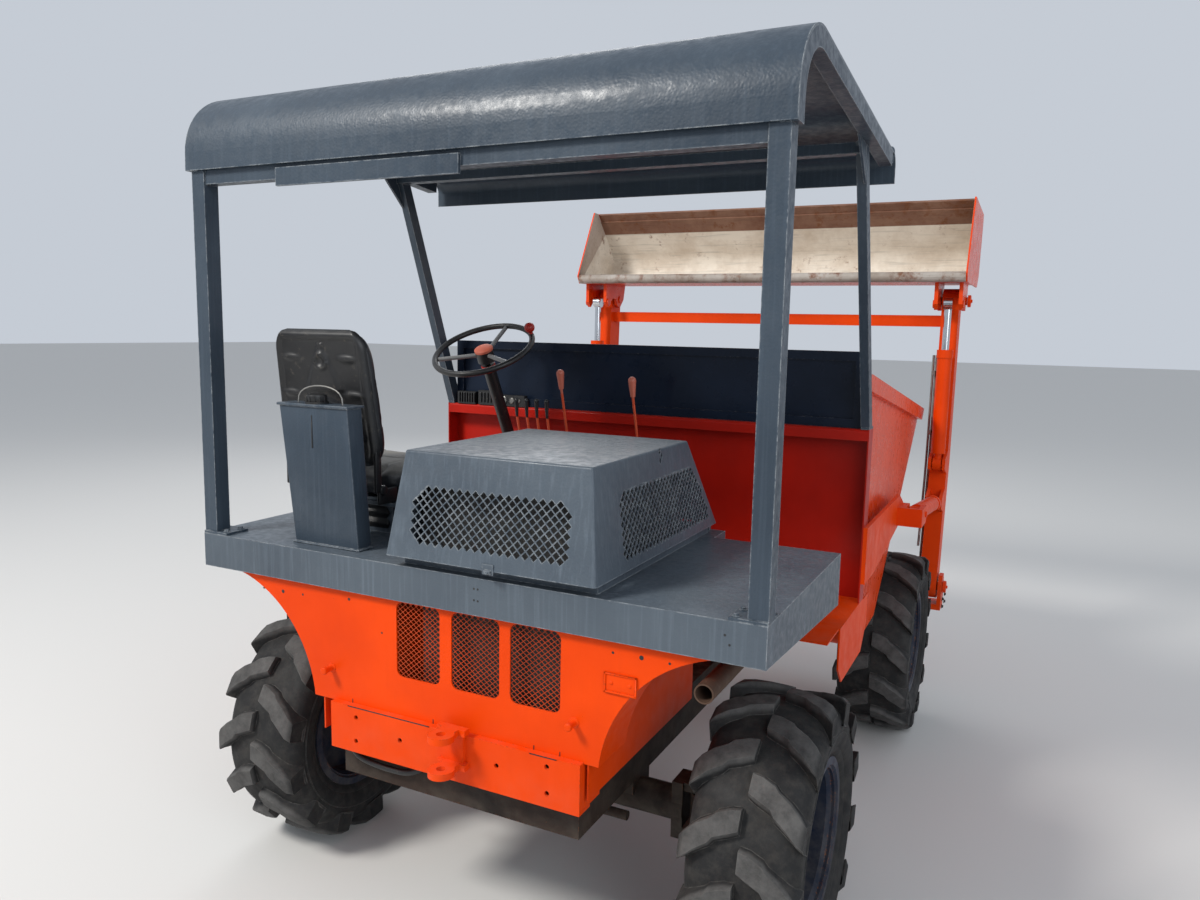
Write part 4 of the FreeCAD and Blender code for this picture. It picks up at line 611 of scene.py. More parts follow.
def add_carcass(parts):
    half = SIDEWALL + CROWN
    profile = half + [(-x, r) for x, r in half[-2::-1]] + [(-BEAD_X, BORE_R), (BEAD_X, BORE_R)]
    verts = []
    for x, r in profile:
        verts += circle(RIGHT * x, AHEAD, UP, r, TYRE_SIDES)
    parts.add(verts, ring_faces(len(profile), TYRE_SIDES, closed=True))


def add_lug(parts, side, start):
    verts = []
    for x, sweep, top, width in LUG_STATIONS:
        root = crown_radius(x) - 0.008
        if x > SHOULDER_X:
            root = max(0.30, crown_radius(x) - 0.012)
        steps = [(root, 1.35), (top - LUG_ROUND, 1.0), (top, 0.86)]
        outline = [(r, -share) for r, share in steps] + [(r, share) for r, share in steps[::-1]]
        for radius, share in outline:
            a = math.radians(start + sweep + width * share)
            verts.append((side * x, radius * math.cos(a), radius * math.sin(a)))
    parts.add(verts, capped_faces(len(LUG_STATIONS), 6))


def make_tyre(name):
    centre = middle("tyre_" + name)
    centre.z = TYRE_R
    out = math.copysign(1.0, centre.x)
    body = "wheel_" + name
    parts = Parts()
    add_carcass(parts)
    pitch = 360.0 / LUG_COUNT
    for side, shift in ((1.0, 0.0), (-1.0, 0.5)):
        for index in range(LUG_COUNT):
            add_lug(parts, side, (index + shift) * pitch + LUG_START)
    parts.verts = [Vector((out * v.x, v.y, v.z)) + centre for v in parts.verts]
    tyre = parts.piece("tyre_skin_" + name, RUBBER, body, angle=32.0)
    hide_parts("tyre_" + name)
    nuts = Parts()
    for k in range(NUT_COUNT):
        a = 2.0 * PI * (k + 0.5) / NUT_COUNT
        disc = Vector((out * (0.002 - DISC_INSET), NUT_CIRCLE_R * math.cos(a), NUT_CIRCLE_R * math.sin(a)))
        nuts.bolt(centre + disc, RIGHT * out, 0.014)
        nuts.lathe(centre + disc, RIGHT * out, [(0.008, 0.006), (0.020, 0.006), (0.021, 0.005)], 10)
    nuts.piece("wheel_nuts_" + name, RIM, body)


for wheel in WHEELS:
    make_tyre(wheel)


# Punched sheets
def punched_face(corners, holes, to_world):
    """A flat polygon with holes, as triangles of points placed by to_world(u, v)."""
    loops = [corners] + holes
    flat = [point for loop in loops for point in loop]
    triangles = tessellate_polygon([[Vector((u, v, 0.0)) for u, v in loop] for loop in loops])
    return [to_world(u, v) for u, v in flat], [list(t) for t in triangles]


def diamond(u, v, half_u, half_v):
    return [(u - half_u, v), (u, v - half_v), (u + half_u, v), (u, v + half_v)]


def diamonds(u0, u1, v0, v1, pitch, half, keep=lambda u, v: True):
    """Staggered diamond holes inside a region; keep(u, v) says which middles stay."""
    holes = []
    for row in range(int(round((v1 - v0) / (pitch[1] / 2.0))) + 1):
        v = v0 + row * pitch[1] / 2.0
        u = u0 + (pitch[0] / 2.0 if row % 2 else 0.0)
        while u <= u1 + 1e-6:
            if keep(u, v):
                holes.append(diamond(u, v, *half))
            u += pitch[0]
    return holes


def thicken(verts, faces, thickness):
    """A closed sheet from an open shell, thickened inwards."""
    obj = linked("work", mesh_of("work", verts, faces))
    clean(obj.data, 1e-5)
    modifier = obj.modifiers.new("sheet", "SOLIDIFY")
    modifier.thickness = thickness
    modifier.offset = -1.0
    apply_modifiers(obj)
    verts = [v.co.copy() for v in obj.data.vertices]
    faces = [list(polygon.vertices) for polygon in obj.data.polygons]
    bpy.data.objects.remove(obj)
    return verts, faces


# Hood: a folded sheet with rounded corners and diamond holes punched in its rear and right sides
HOOD_LOW = (-0.164, 0.480, -0.026, 0.852, 1.1785)  # x0, x1, y0, y1, z
HOOD_TOP = (-0.128, 0.444, 0.019, 0.656, 1.467)
HOOD_ROUND = 0.007
HOOD_STEPS = 4
HOOD_SHEET = 0.004
DIAMOND_PITCH = 0.0252
DIAMOND_HALF = 0.0107
HOLE_FIELDS = [  # on the rear and right face: margins left and right, bottom, top, lean left and right
    (0.079, 0.079, 0.052, 0.185, 0.0, 0.0),
    (0.160, 0.045, 0.036, 0.198, 0.004, 0.118),
]
SMALL_HOLES = [(0.452, 0.2560), (0.4646, 0.2686), (0.452, 0.2812)]  # on the right face
HINGE_Y = 0.868
HINGE_Z = 1.178


def spread(a, b, t):
    return (a * (1.0 - t) + b * t).normalized()


def hood_holes(face, width):
    left, right, v0, v1, lean_left, lean_right = HOLE_FIELDS[face]
    u0 = left
    u1 = width - right

    def keep(u, v):
        t = (v - v0) / (v1 - v0)
        corner = 0.018 * max(0.0, abs(2.0 * t - 1.0) - 0.75) / 0.25
        return u0 + lean_left * t + corner <= u <= u1 - lean_right * t - corner

    pitch = (DIAMOND_PITCH, DIAMOND_PITCH)
    holes = diamonds(u0, u1, v0, v1, pitch, (DIAMOND_HALF, DIAMOND_HALF), keep)
    if face == 1:
        holes += [diamond(u, v, 0.0075, 0.0095) for u, v in SMALL_HOLES]
    return holes


def make_hood():
    low = corners_of(HOOD_LOW)
    top = corners_of(HOOD_TOP)
    normals = [(low[(k + 1) % 4] - low[k]).cross(top[k] - low[k]).normalized() for k in range(4)]
    r = HOOD_ROUND

    def inset(point, planes):
        values = Vector([n.dot(point) - r for n in planes])
        return Matrix([list(n) for n in planes]).inverted() @ values

    inner_top = [inset(top[k], (normals[k - 1], normals[k], UP)) for k in range(4)]
    inner_low = []
    for k in range(4):
        edge = (top[k] - low[k]).normalized()
        foot = inset(low[k], (normals[k - 1], normals[k], UP))
        inner_low.append(foot - edge * ((foot.z - HOOD_LOW[4]) / edge.z))
    shell = Parts()
    shares = [step / HOOD_STEPS for step in range(HOOD_STEPS + 1)]
    for k in range(4):
        n = (k + 1) % 4
        corners = [c + normals[k] * r for c in (inner_low[k], inner_low[n], inner_top[n], inner_top[k])]
        if k < len(HOLE_FIELDS):
            origin = corners[0]
            along = (corners[1] - corners[0]).normalized()
            rise = along.cross(normals[k]) * -1.0
            flat = [((c - origin).dot(along), (c - origin).dot(rise)) for c in corners]
            holes = hood_holes(k, flat[1][0])
            shell.add(*punched_face(flat, holes, lambda u, v: origin + along * u + rise * v))
        else:
            shell.add(corners, QUAD)
        for s, t in zip(shares, shares[1:]):
            a = spread(normals[k - 1], normals[k], s) * r
            b = spread(normals[k - 1], normals[k], t) * r
            shell.add([inner_low[k] + a, inner_low[k] + b, inner_top[k] + b, inner_top[k] + a], QUAD)
            a = spread(normals[k], UP, s) * r
            b = spread(normals[k], UP, t) * r
            shell.add([inner_top[k] + a, inner_top[n] + a, inner_top[n] + b, inner_top[k] + b], QUAD)
            for v, w in zip(shares, shares[1:]):
                turns = [(s, v), (t, v), (t, w), (s, w)]
                quad = [spread(spread(normals[k - 1], normals[k], i), UP, j) * r for i, j in turns]
                shell.add([inner_top[k] + q for q in quad], QUAD)
    shell.add([c + UP * r for c in inner_top], QUAD)
    parts = Parts()
    parts.add(*thicken(shell.verts, shell.faces, HOOD_SHEET))
    for x in (HOOD_LOW[0] + 0.06, HOOD_LOW[1] - 0.06):
        parts.block(at(x - 0.018, 0.838, 1.186), at(x + 0.018, 0.872, 1.192))
        parts.rod(at(x - 0.018, HINGE_Y, HINGE_Z), RIGHT, 0.009, 0.036, 20)
        parts.rod(at(x - 0.034, HINGE_Y, HINGE_Z), RIGHT, 0.0049, 0.068, 16)
    hood = parts.piece("hood_sheet", GREY, "hood", angle=30.0)
    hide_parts("hood", "hood_mesh")


def make_hood_latch():
    parts = Parts()
    parts.block(at(0.152, -0.028, 1.170), at(0.186, -0.0235, 1.198))
    parts.block(at(0.160, -0.034, 1.174), at(0.180, -0.027, 1.183))
    parts.rod(at(0.170, -0.037, 1.1785), AHEAD, 0.0045, 0.010, 14)
    parts.piece("hood_latch", GREY, "hood", bevel=0.0012)


make_hood()
make_hood_latch()

# Rear grilles: fine expanded metal behind the three windows
WINDOWS = ((-0.176, -0.007), (0.011, 0.186), (0.199, 0.371))  # x0, x1
GRILLE_Y = 0.0255
GRILLE_Z0 = 0.808
GRILLE_Z1 = 1.040
GRILLE_SHEET = 0.0016
GRILLE_PITCH = (0.0185, 0.0150)
GRILLE_HALF = (0.0080, 0.0063)


def make_grilles():
    parts = Parts()
    height = GRILLE_Z1 - GRILLE_Z0
    for x0, x1 in WINDOWS:
        width = x1 - x0
        holes = diamonds(0.0115, width - 0.0105, 0.011, height - 0.011, GRILLE_PITCH, GRILLE_HALF)
        outline = [(0.0, 0.0), (width, 0.0), (width, height), (0.0, height)]
        face = punched_face(outline, holes, lambda u, v: at(x0 + u, GRILLE_Y, GRILLE_Z0 + v))
        parts.add(*thicken(*face, -GRILLE_SHEET))
    grille = parts.piece("fine_grilles", MESH)
    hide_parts("rear_grilles")


make_grilles()

# Small things on the rear panel, the bar and the deck
PANEL_Y = 0.020
PANEL_HOLES = [  # x, z, radius
    (0.508, 1.010, 0.0035), (0.585, 1.011, 0.0060), (0.659, 1.010, 0.0035), (-0.337, 1.015, 0.0045),
    (-0.218, 0.935, 0.0030), (-0.673, 0.999, 0.0030), (-0.594, 1.000, 0.0055), (-0.515, 1.002, 0.0035),
]
DECK_HOLES = [(0.109, 1.118), (0.121, 1.118), (0.109, 1.087), (0.121, 1.086), (0.800, 1.112), (0.812, 1.090)]
DECK_HOLE_R = 0.0030
BAR_SLOTS = ((-0.331, -0.039), (0.283, 0.364))  # x0, x1
SLOT_Z = 0.7005
STUDS = ((0.403, 0.805), (-0.406, 0.797))  # x, z
STUD_PROFILE = [(0.0, 0.014), (0.003, 0.014), (0.004, 0.0085), (0.026, 0.0085), (0.031, 0.011),
                (0.038, 0.0105), (0.040, 0.008)]
PLATE = (0.487, 0.575, 0.907, 0.958)  # x0, x1, z0, z1
PLATE_RIM = 0.004


def make_holes():
    dots = Parts()
    holes = [(x, PANEL_Y, z, r) for x, z, r in PANEL_HOLES]
    holes += [(x, 0.0, z, DECK_HOLE_R) for x, z in DECK_HOLES]
    for x, y, z, r in holes:
        dots.lathe(at(x, y, z), -AHEAD, [(-0.002, r), (0.0003, r), (0.0004, r * 0.9)], 20)
    for x0, x1 in BAR_SLOTS:
        dots.block(at(x0, -0.0004, SLOT_Z), at(x1, 0.001, 0.7037))
        for x in (x0, x1 - 0.003):
            dots.block(at(x, -0.0004, SLOT_Z), at(x + 0.003, 0.001, 0.7038))
            dots.block(at(x, 0.0196, 0.7040), at(x + 0.003, 0.0215, 0.7160))
    dots.piece("holes_and_slots", BLACK)


def make_plate_and_studs():
    parts = Parts()
    for x, z in STUDS:
        parts.lathe(at(x, 0.021, z), -AHEAD, STUD_PROFILE, 24)
    x0, x1, z0, z1 = PLATE
    parts.block(at(x0, 0.0175, z0), at(x1, 0.0205, z1))
    rim = ((x0, x1, z0, z0 + PLATE_RIM), (x0, x1, z1 - PLATE_RIM, z1), (x0, x0 + PLATE_RIM, z0, z1),
           (x1 - PLATE_RIM, x1, z0, z1))
    for low_x, high_x, low_z, high_z in rim:
        parts.block(at(low_x, 0.0145, low_z), at(high_x, 0.0180, high_z))
    for x in (x0 + 0.019, x1 - 0.019):
        rivet = at(x, 0.0178, (z0 + z1) / 2.0)
        parts.lathe(rivet, -AHEAD, [(0.0, 0.005), (0.0015, 0.005), (0.003, 0.003)], 16)
    parts.piece("blank_plate_and_studs", ORANGE, bevel=0.0008, angle=SHARP)


def make_deck_bolts():
    parts = Parts()
    for side in SIDES:
        for x, y in ((0.820, 0.016), (0.820, 0.070), (0.892, 0.070)):
            parts.bolt(at(side * x, y, 1.156), UP, 0.010)
        for y in (1.262, 1.308):
            parts.bolt(at(side * 0.868, y, 1.483), UP, 0.006)
    parts.piece("canopy_bolts", CANOPY)


make_holes()
make_plate_and_studs()
make_deck_bolts()

# Pin ends and bolts on the arm brackets and the bucket
PIN_SPOTS = (("machine", 1.030, 2.800, 0.550), ("bucket", 1.036, 2.955, 1.970))  # body, x, y, z
BRACKET_X = 1.022
BRACKET_BOLTS = ((2.752, 0.462), (2.752, 0.500), (2.850, 0.462), (2.850, 0.500))  # y, z


def make_pins():
    for body, x, y, z in PIN_SPOTS:
        parts = Parts()
        for side in SIDES:
            out = RIGHT * side
            end = at(side * x, y, z)
            parts.lathe(end - out * 0.012, out, [(0.0, 0.030), (0.012, 0.030), (0.014, 0.028)], 28)
            parts.bolt(end, out, 0.012)
        parts.piece("pin_ends_" + body, ORANGE, body, angle=SHARP)
    bolts = Parts()
    for side in SIDES:
        for y, z in BRACKET_BOLTS:
            bolts.bolt(at(side * BRACKET_X, y, z), RIGHT * side, 0.010)
    bolts.piece("bracket_bolts", CHASSIS, angle=SHARP)


make_pins()

# Seat: a padded cushion, a padded back and a moulded rear shell with ribs
SEAT_X = -0.568
BACK_LEAN = 0.14
SEAM_DEPTH = 0.006
SEAM_WIDTH = 0.012
VOXEL = 0.007
PRESSURE = 3.0
CLOTH_FRAMES = 14
CUSHION_HALF_Y = 0.204
BACK_HALF_Z = 0.212


def pillow(half_a, half_b, top, bottom, power=5.0, rings=18, sides=96):
    """A crowned closed form on a rounded rectangle; its edge lies at height 0."""
    def outline(angle):
        c, s = math.cos(angle), math.sin(angle)
        return math.copysign(abs(c) ** (2.0 / power), c), math.copysign(abs(s) ** (2.0 / power), s)

    verts = []
    faces = []
    for height in (top, -bottom):
        base = len(verts)
        verts.append((0.0, 0.0, height))
        for ring in range(1, rings + 1):
            share = math.sin(0.5 * PI * ring / rings)
            rise = (1.0 - share ** 4.5) ** (1.0 / 2.4)
            for k in range(sides):
                u, v = outline(2.0 * PI * k / sides)
                verts.append((half_a * u * share, half_b * v * share, height * rise))
        faces += [[base, base + 1 + k, base + 1 + (k + 1) % sides] for k in range(sides)]
        faces += [[base + 1 + i for i in face] for face in ring_faces(rings, sides)]
    return verts, faces


def soft_piece(name, verts, faces, material, node):
    obj = new_piece(name, verts, faces, material, "machine", True)
    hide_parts(node)
    return obj


def inflate(obj, cap):
    """Cloth under pressure for a few frames, with each point's move capped."""
    remesh = obj.modifiers.new("even", "REMESH")
    remesh.mode = "VOXEL"
    remesh.voxel_size = VOXEL
    apply_modifiers(obj)
    start = [v.co.copy() for v in obj.data.vertices]
    cloth = obj.modifiers.new("cloth", "CLOTH")
    cloth.settings.use_pressure = True
    cloth.settings.uniform_pressure_force = PRESSURE
    cloth.settings.effector_weights.gravity = 0.0
    cloth.settings.quality = 5
    cloth.collision_settings.use_collision = False
    scene = bpy.context.scene
    for number in range(1, CLOTH_FRAMES + 1):
        scene.frame_set(number)
    graph = bpy.context.evaluated_depsgraph_get()
    moved = [v.co.copy() for v in obj.evaluated_get(graph).data.vertices]
    obj.modifiers.clear()
    scene.frame_set(1)
    for vertex, old, new in zip(obj.data.vertices, start, moved):
        step = new - old
        if step.length > cap:
            step *= cap / step.length
        vertex.co = old + step
    for polygon in obj.data.polygons:
        polygon.use_smooth = True


def sew(obj, lines, facing):
    """Presses sewn channels into a pad: each line gives an axis, a place and a span on the other axis."""
    for vertex in obj.data.vertices:
        for axis, place, other, low, high in lines:
            if not low <= vertex.co[other] <= high:
                continue
            gap = abs(vertex.co[axis] - place)
            if gap < SEAM_WIDTH and vertex.normal.dot(facing) > 0.3:
                vertex.co -= facing * SEAM_DEPTH * (0.5 + 0.5 * math.cos(PI * gap / SEAM_WIDTH))


def make_cushion():
    verts, faces = pillow(0.206, CUSHION_HALF_Y, top=0.045, bottom=0.046)
    mid = at(SEAT_X, 0.478, 1.308)
    placed = []
    for x, y, z in verts:
        front = max(0.0, y / 0.208)
        bolster = 0.012 * min(1.0, (abs(x) / 0.15) ** 4) if z > 0 else 0.0
        placed.append(mid + Vector((x, y, z + bolster - 0.010 * front ** 2)))
    cushion = soft_piece("seat_pad", placed, faces, CUSHION_VINYL, "seat_cushion")
    inflate(cushion, 0.008)
    seams = [(0, mid.x + x, 1, mid.y - 0.19, mid.y + 0.19) for x in (-0.115, 0.115)]
    seams.append((1, mid.y - 0.02, 0, mid.x - 0.115, mid.x + 0.115))
    sew(cushion, seams, UP)


def make_back_pad():
    verts, faces = pillow(0.198, BACK_HALF_Z, top=0.040, bottom=0.020)
    mid = at(SEAT_X, 0.208, 1.574)
    placed = []
    for x, y, z in verts:
        narrow = 1.0 - 0.10 * (y / BACK_HALF_Z + 1.0) / 2.0
        placed.append(mid + Vector((x * narrow, z - BACK_LEAN * y, y)))
    pad = soft_piece("back_pad", placed, faces, VINYL, "seat_back")
    inflate(pad, 0.006)
    sew(pad, [(2, mid.z + z, 0, mid.x - 0.12, mid.x + 0.12) for z in (-0.10, 0.0, 0.10)], AHEAD)


SHELL_COLUMNS = 72
SHELL_ROWS = 84
SHELL_HALF_X = 0.192
SHELL_HALF_Z = 0.208
SHELL_CORNER = 0.30
DIMPLES = ((0.110, 0.120), (0.125, 0.010), (0.122, -0.055), (0.120, -0.120))  # x, z, on both sides


def swell(u, v, mid_u, mid_v, half_u, half_v):
    """1 in the middle of an oval and 0 well away from it."""
    d = ((u - mid_u) / half_u) ** 2 + ((v - mid_v) / half_v) ** 2
    return math.exp(-d * d)


def shell_height(u, v, edge):
    """How far the shell stands out: a rounded edge, one rib, a ring at its top, dimples and a hollow."""
    height = 0.010 * (1.0 - max(0.0, (edge - 0.93) / 0.07) ** 2)
    height += 0.005 * swell(edge, 0.0, 0.90, 0.0, 0.05, 1.0)
    if 0.02 < v < 0.165:
        rib_half = 0.012 + 0.085 * max(0.0, 0.150 - v) / 0.15
        height += 0.007 * min(1.0, 3.0 * max(0.0, 1.0 - abs(u - 0.010) / rib_half))
    ring = math.hypot(u - 0.012, v - 0.112)
    height += 0.006 * math.exp(-((ring - 0.022) / 0.007) ** 2)
    height -= 0.004 * math.exp(-(ring / 0.012) ** 2)
    for side in SIDES:
        for x, z in DIMPLES:
            height += 0.006 * swell(u + 0.35 * (v - z), v, side * x, z, 0.034, 0.011)
    return height - 0.006 * swell(u, v, 0.0, -0.02, 0.075, 0.028)


def make_back_shell():
    mid = at(SEAT_X, 0.188, 1.576)
    outer = []
    for j in range(SHELL_ROWS + 1):
        t = 2.0 * j / SHELL_ROWS - 1.0
        past = max(0.0, (abs(t) - (1.0 - SHELL_CORNER)) / SHELL_CORNER)
        reach = 1.0 - SHELL_CORNER * (1.0 - math.sqrt(max(0.0, 1.0 - past ** 2)))
        narrow = 1.0 - 0.09 * (t + 1.0) / 2.0
        v = SHELL_HALF_Z * t
        for i in range(SHELL_COLUMNS + 1):
            s = 2.0 * i / SHELL_COLUMNS - 1.0
            u = SHELL_HALF_X * s * reach * narrow
            height = shell_height(u, v, max(abs(s), abs(t)))
            outer.append(mid + Vector((u, -height - BACK_LEAN * v, v)))
    verts = outer + [Vector((p.x, mid.y + 0.004 - BACK_LEAN * (p.z - mid.z), p.z)) for p in outer]
    count = len(outer)
    wide = SHELL_COLUMNS + 1
    faces = []
    for j in range(SHELL_ROWS):
        for i in range(SHELL_COLUMNS):
            a = j * wide + i
            quad = [a, a + 1, a + wide + 1, a + wide]
            faces += [quad, [count + k for k in reversed(quad)]]
    rim = list(range(wide)) + [j * wide + SHELL_COLUMNS for j in range(1, SHELL_ROWS + 1)]
    rim += [SHELL_ROWS * wide + i for i in range(SHELL_COLUMNS - 1, -1, -1)]
    rim += [j * wide for j in range(SHELL_ROWS - 1, 0, -1)]
    faces += [[a, a + count, b + count, b] for a, b in zip(rim, rim[1:] + rim[:1])]
    shell = new_piece("seat_back_shell", verts, faces, BLACK, "machine")
    shade_by_angle(shell, 50.0)
    rack = Parts()
    for z in (1.500, 1.530):
        rack.rod(at(SEAT_X - 0.075, 0.158, z), RIGHT, 0.0025, 0.150, 10)
    for x in (-0.075, -0.025, 0.025, 0.075):
        rack.rod(at(SEAT_X + x, 0.158, 1.475), UP, 0.0022, 0.085, 10)
    rack.piece("document_rack", BLACK, angle=SHARP)


BELLOWS = ((0.150, 1.160), (0.162, 1.178), (0.150, 1.196), (0.162, 1.212), (0.150, 1.230), (0.156, 1.238))


def make_seat_frame():
    """Two back brackets, and bellows, whose folds give a half width and a height."""
    parts = Parts()
    verts = []
    for side in SIDES:
        x = SEAT_X + side * 0.178
        parts.block(at(x - 0.006, 0.215, 1.252), at(x + 0.006, 0.300, 1.300))
        parts.block(at(x - 0.006, 0.200, 1.290), at(x + 0.006, 0.226, 1.420))
        parts.rod(at(x - 0.012, 0.232, 1.296), RIGHT, 0.016, 0.024, 20)
    for half, z in BELLOWS:
        verts += [at(SEAT_X + x * half, 0.452 + y * (half + 0.012), z) for x, y in SQUARE]
    parts.add(verts, capped_faces(len(BELLOWS), 4))
    parts.piece("seat_mount", BLACK, bevel=0.004, segments=3, angle=40.0)


make_cushion()
make_back_pad()
make_back_shell()
make_seat_frame()

# Side tank: a tapered sheet box with an overhanging lid, a filler cap, a wire bail and a long slot
TANK_FOOT = (-0.572, -0.330, 0.056, 0.112, 1.1485)  # x0, x1, y0, y1, z
TANK_HEAD = (-0.620, -0.360, 0.050, 0.112, 1.562)
CAP_MID = at(-0.500, 0.080, 1.568)
CAP_PROFILE = [(-0.001, 0.034), (0.006, 0.034), (0.007, 0.028), (0.020, 0.030), (0.026, 0.028),
               (0.029, 0.020)]
CAP_RIBS = 12
CAP_RIB_R = 0.029
TANK_SLOT_X = -0.494
BAIL_STEPS = 12


def make_tank():
    parts = Parts()
    parts.add(corners_of(TANK_FOOT) + corners_of(TANK_HEAD), capped_faces(2, 4))
    parts.block(at(-0.626, 0.044, 1.560), at(-0.354, 0.118, 1.568))
    parts.block(at(-0.580, 0.050, 1.1485), at(-0.324, 0.118, 1.1535))
    tank = parts.piece("tank_shell", CANOPY, bevel=0.003, segments=3, angle=SHARP)
    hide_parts("side_tank")
    cap = Parts()
    cap.lathe(CAP_MID, UP, CAP_PROFILE, 40)
    for foot in circle(CAP_MID + UP * 0.007, RIGHT, AHEAD, CAP_RIB_R, CAP_RIBS):
        cap.rod(foot, UP, 0.003, 0.014, 8)
    cap.block(at(TANK_SLOT_X - 0.002, 0.0500, 1.440), at(TANK_SLOT_X + 0.002, 0.0530, 1.536))
    cap.piece("tank_cap_and_slot", BLACK, angle=SHARP)
    points = []
    for k in range(BAIL_STEPS + 1):
        a = PI * k / BAIL_STEPS
        points.append(at(-0.470 + 0.085 * math.cos(a), 0.062, 1.570 + 0.052 * max(0.0, math.sin(a)) ** 0.7))
    wire = Parts()
    for a, b in zip(points, points[1:]):
        wire.rod(a, b - a, 0.0022, (b - a).length, 10)
    wire.piece("tank_bail", STEEL, angle=SHARP)


make_tank()

# Dash: slats and dials on the dark boxes
SLAT_ROWS = (  # count, first x, pitch, width, y, z0, z1
    (7, -0.822, 0.0125, 0.006, 1.2415, 1.482, 1.522),
    (5, -0.715, 0.016, 0.008, 1.2425, 1.486, 1.526),
)
DASH_Y = 1.2490
DIALS = ((-0.600, 0.017), (-0.560, 0.012), (-0.527, 0.008))  # x, radius


def make_dash_details():
    slats = Parts()
    for count, first, pitch, width, y, z0, z1 in SLAT_ROWS:
        for k in range(count):
            x = first + pitch * k
            slats.block(at(x, y, z0), at(x + width, 1.2485, z1))
    slats.piece("dash_slats", BLACK, bevel=0.0008)
    rings = Parts()
    for x, r in DIALS:
        profile = [(0.0, r), (0.004, r), (0.005, r * 0.86), (0.003, r * 0.80)]
        rings.lathe(at(x, DASH_Y, 1.499), -AHEAD, profile, 28)
    rings.piece("dash_dials", STEEL, angle=SHARP)


def make_wheel_cap():
    cap = Parts()
    cap.lathe(WHEEL_MID, SHAFT, [(-0.006, 0.036), (0.002, 0.036), (0.006, 0.031), (0.008, 0.020),
                                 (0.0085, 0.004)], 36)
    cap.piece("steering_cap", FADED, "steering_wheel", angle=SHARP)
    collar = Parts()
    collar.lathe(WHEEL_MID - SHAFT * 0.092, SHAFT, [(0.0, 0.0275), (0.024, 0.0275), (0.026, 0.025)], 32)
    collar.piece("column_collar", RED, angle=SHARP)


def make_bar_ends():
    parts = Parts()
    for x0, x1 in ((-0.3945, -0.3870), (0.4240, 0.4315)):
        parts.block(at(x0, 0.0078, 0.5725), at(x1, 0.118, 0.6955))
    parts.piece("bar_ends", ORANGE, bevel=0.0012)


make_dash_details()
make_wheel_cap()
make_bar_ends()

# Steel pipes up the arms, a step loop and a roof hook
PIPE_PATHS = ((0.898, 0.66), (0.884, 0.74))  # x, height of the foot
PIPE_BENDS = [(2.880, 0.98), (2.915, 1.16), (2.928, 1.45), (2.938, 1.70)]  # y, z
ARM_FACE_X = 0.911
LOOP_PATH = [(-0.375, 0.075, 0.566), (-0.372, 0.052, 0.528), (-0.250, 0.045, 0.512), (-0.110, 0.045, 0.520),
             (-0.085, 0.070, 0.566)]
HOOK_PATH = [(0.905, 1.205, 2.352), (0.912, 1.210, 2.385), (0.900, 1.222, 2.408), (0.888, 1.234, 2.392)]
TUBE_STEPS = 8
TUBE_SIDES = 12


def bent_tube(parts, places, radius):
    """A tube whose path is rounded by a smooth curve between the middles of its runs."""
    points = [at(*place) for place in places]
    last = len(points) - 2
    path = []
    for index in range(1, last + 1):
        a = points[0] if index == 1 else (points[index - 1] + points[index]) / 2.0
        b = points[index]
        c = points[-1] if index == last else (points[index] + points[index + 1]) / 2.0
        for step in range(TUBE_STEPS + (1 if index == last else 0)):
            t = step / TUBE_STEPS
            path.append(a * (1 - t) ** 2 + b * 2 * t * (1 - t) + c * t * t)
    side = RIGHT
    verts = []
    for index, point in enumerate(path):
        onward = (path[min(index + 1, len(path) - 1)] - path[max(index - 1, 0)]).normalized()
        side = (side - onward * side.dot(onward)).normalized()
        verts += circle(point, side, onward.cross(side), radius, TUBE_SIDES)
    parts.add(verts, capped_faces(len(path), TUBE_SIDES))


def make_arm_pipes():
    parts = Parts()
    for side in SIDES:
        face = side * ARM_FACE_X
        for lane, foot in PIPE_PATHS:
            x = side * lane
            bent_tube(parts, [(x, 2.816, foot)] + [(x, y, z) for y, z in PIPE_BENDS], 0.0060)
            for z in (1.30, 1.60):
                y = 2.900 + (z - 1.17) * 0.05
                parts.block(at(min(x, face), y - 0.010, z), at(max(x, face), y + 0.022, z + 0.022))
    parts.piece("arm_pipes", STEEL, "lift_arms", angle=SHARP)


def make_small_tubes():
    loop = Parts()
    bent_tube(loop, LOOP_PATH, 0.009)
    loop.piece("step_loop", BLACK, angle=SHARP)
    hook = Parts()
    bent_tube(hook, HOOK_PATH, 0.006)
    hook.piece("roof_hook", CANOPY, angle=SHARP)


make_arm_pipes()
make_small_tubes()

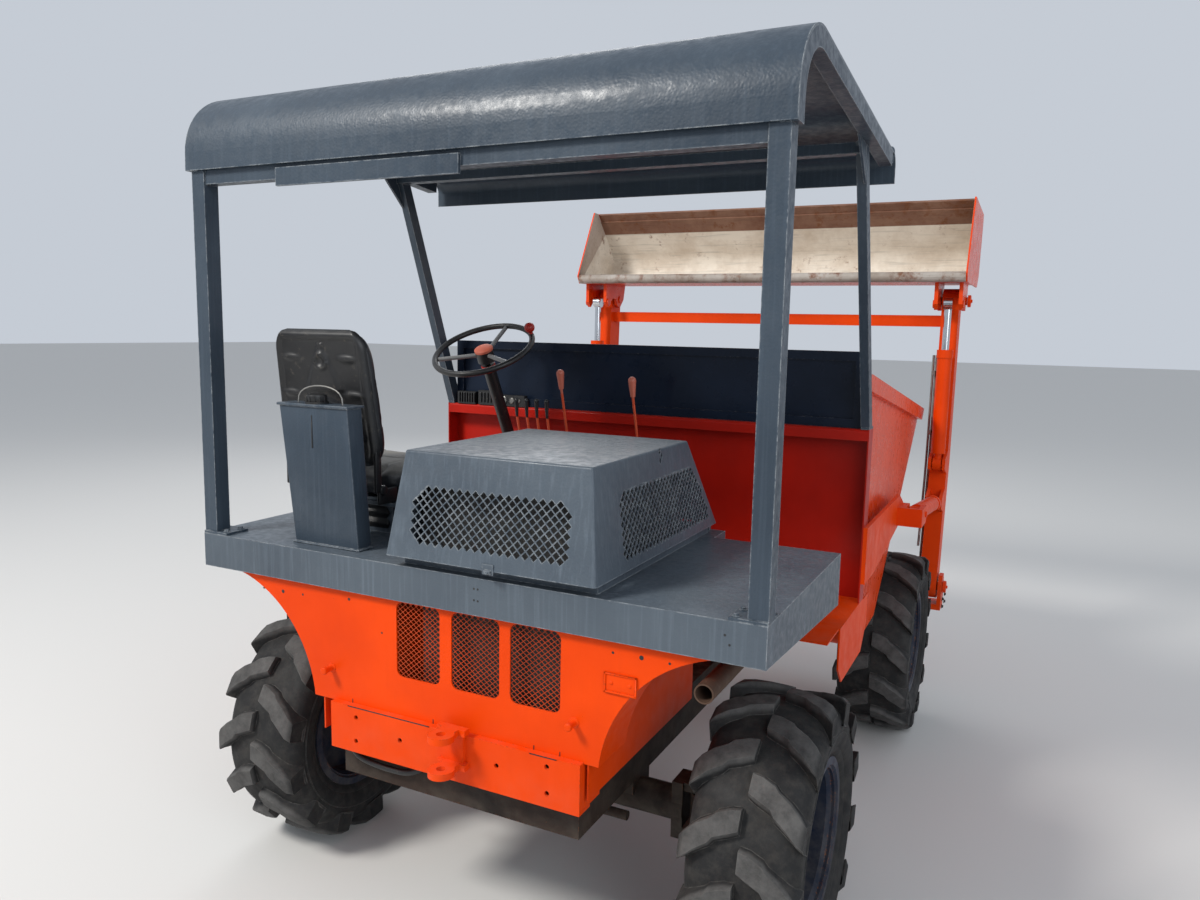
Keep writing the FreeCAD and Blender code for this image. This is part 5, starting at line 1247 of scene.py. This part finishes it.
# Camera at the photograph's place, lights and floor
CAMERA_AT = at(1.424, -1.918, 1.805)
YAW = math.radians(26.42)
PITCH = math.radians(-7.72)
ROLL = math.radians(1.13)
SENSOR_WIDTH = 36.0
LENS = 27.09
FLOOR_HALF = 60.0
SKY = (0.80, 0.86, 0.95, 1.0)
SKY_STRENGTH = 0.7
LIGHTS = [  # name, place, target, size, power, colour
    ("key", (-4.0, -7.0, 7.5), (0.0, -0.2, 1.0), 2.2, 820.0, (1.0, 0.97, 0.92)),
    ("fill", (6.0, -5.0, 4.0), (0.0, 0.0, 1.0), 5.0, 160.0, (0.9, 0.95, 1.0)),
    ("front", (-4.5, 6.5, 6.0), (0.0, 0.0, 1.0), 5.0, 150.0, (1.0, 1.0, 1.0)),
]


def add_camera():
    data = bpy.data.cameras.new("camera")
    data.sensor_width = SENSOR_WIDTH
    data.lens = LENS
    camera = linked("camera", data)
    place = Matrix.Translation(CAMERA_AT)
    for angle, axis in ((YAW, "Z"), (PI / 2.0 + PITCH, "X"), (ROLL, "Z")):
        place = place @ Matrix.Rotation(angle, 4, axis)
    camera.matrix_world = place
    bpy.context.scene.camera = camera


def add_light(name, place, target, size, power, colour):
    data = bpy.data.lights.new(name, "AREA")
    data.shape = "DISK"
    data.size = size
    data.energy = power
    data.color = colour
    light = linked(name, data)
    light.location = place
    light.rotation_euler = (Vector(target) - Vector(place)).to_track_quat("-Z", "Y").to_euler()


def add_stage():
    corners = [(FLOOR_HALF * x, FLOOR_HALF * y, 0.0) for x, y in SQUARE]
    floor = linked("floor", mesh_of("floor", corners, QUAD))
    floor.data.materials.append(Shader("floor_pale").finish((0.62, 0.61, 0.59), 0.85))
    world = bpy.data.worlds.new("studio")
    world.use_nodes = True
    sky = world.node_tree.nodes["Background"]
    sky.inputs["Color"].default_value = SKY
    sky.inputs["Strength"].default_value = SKY_STRENGTH
    bpy.context.scene.world = world
    for light in LIGHTS:
        add_light(*light)


add_camera()
add_stage()
view = bpy.context.scene.view_settings
view.view_transform = "Standard"
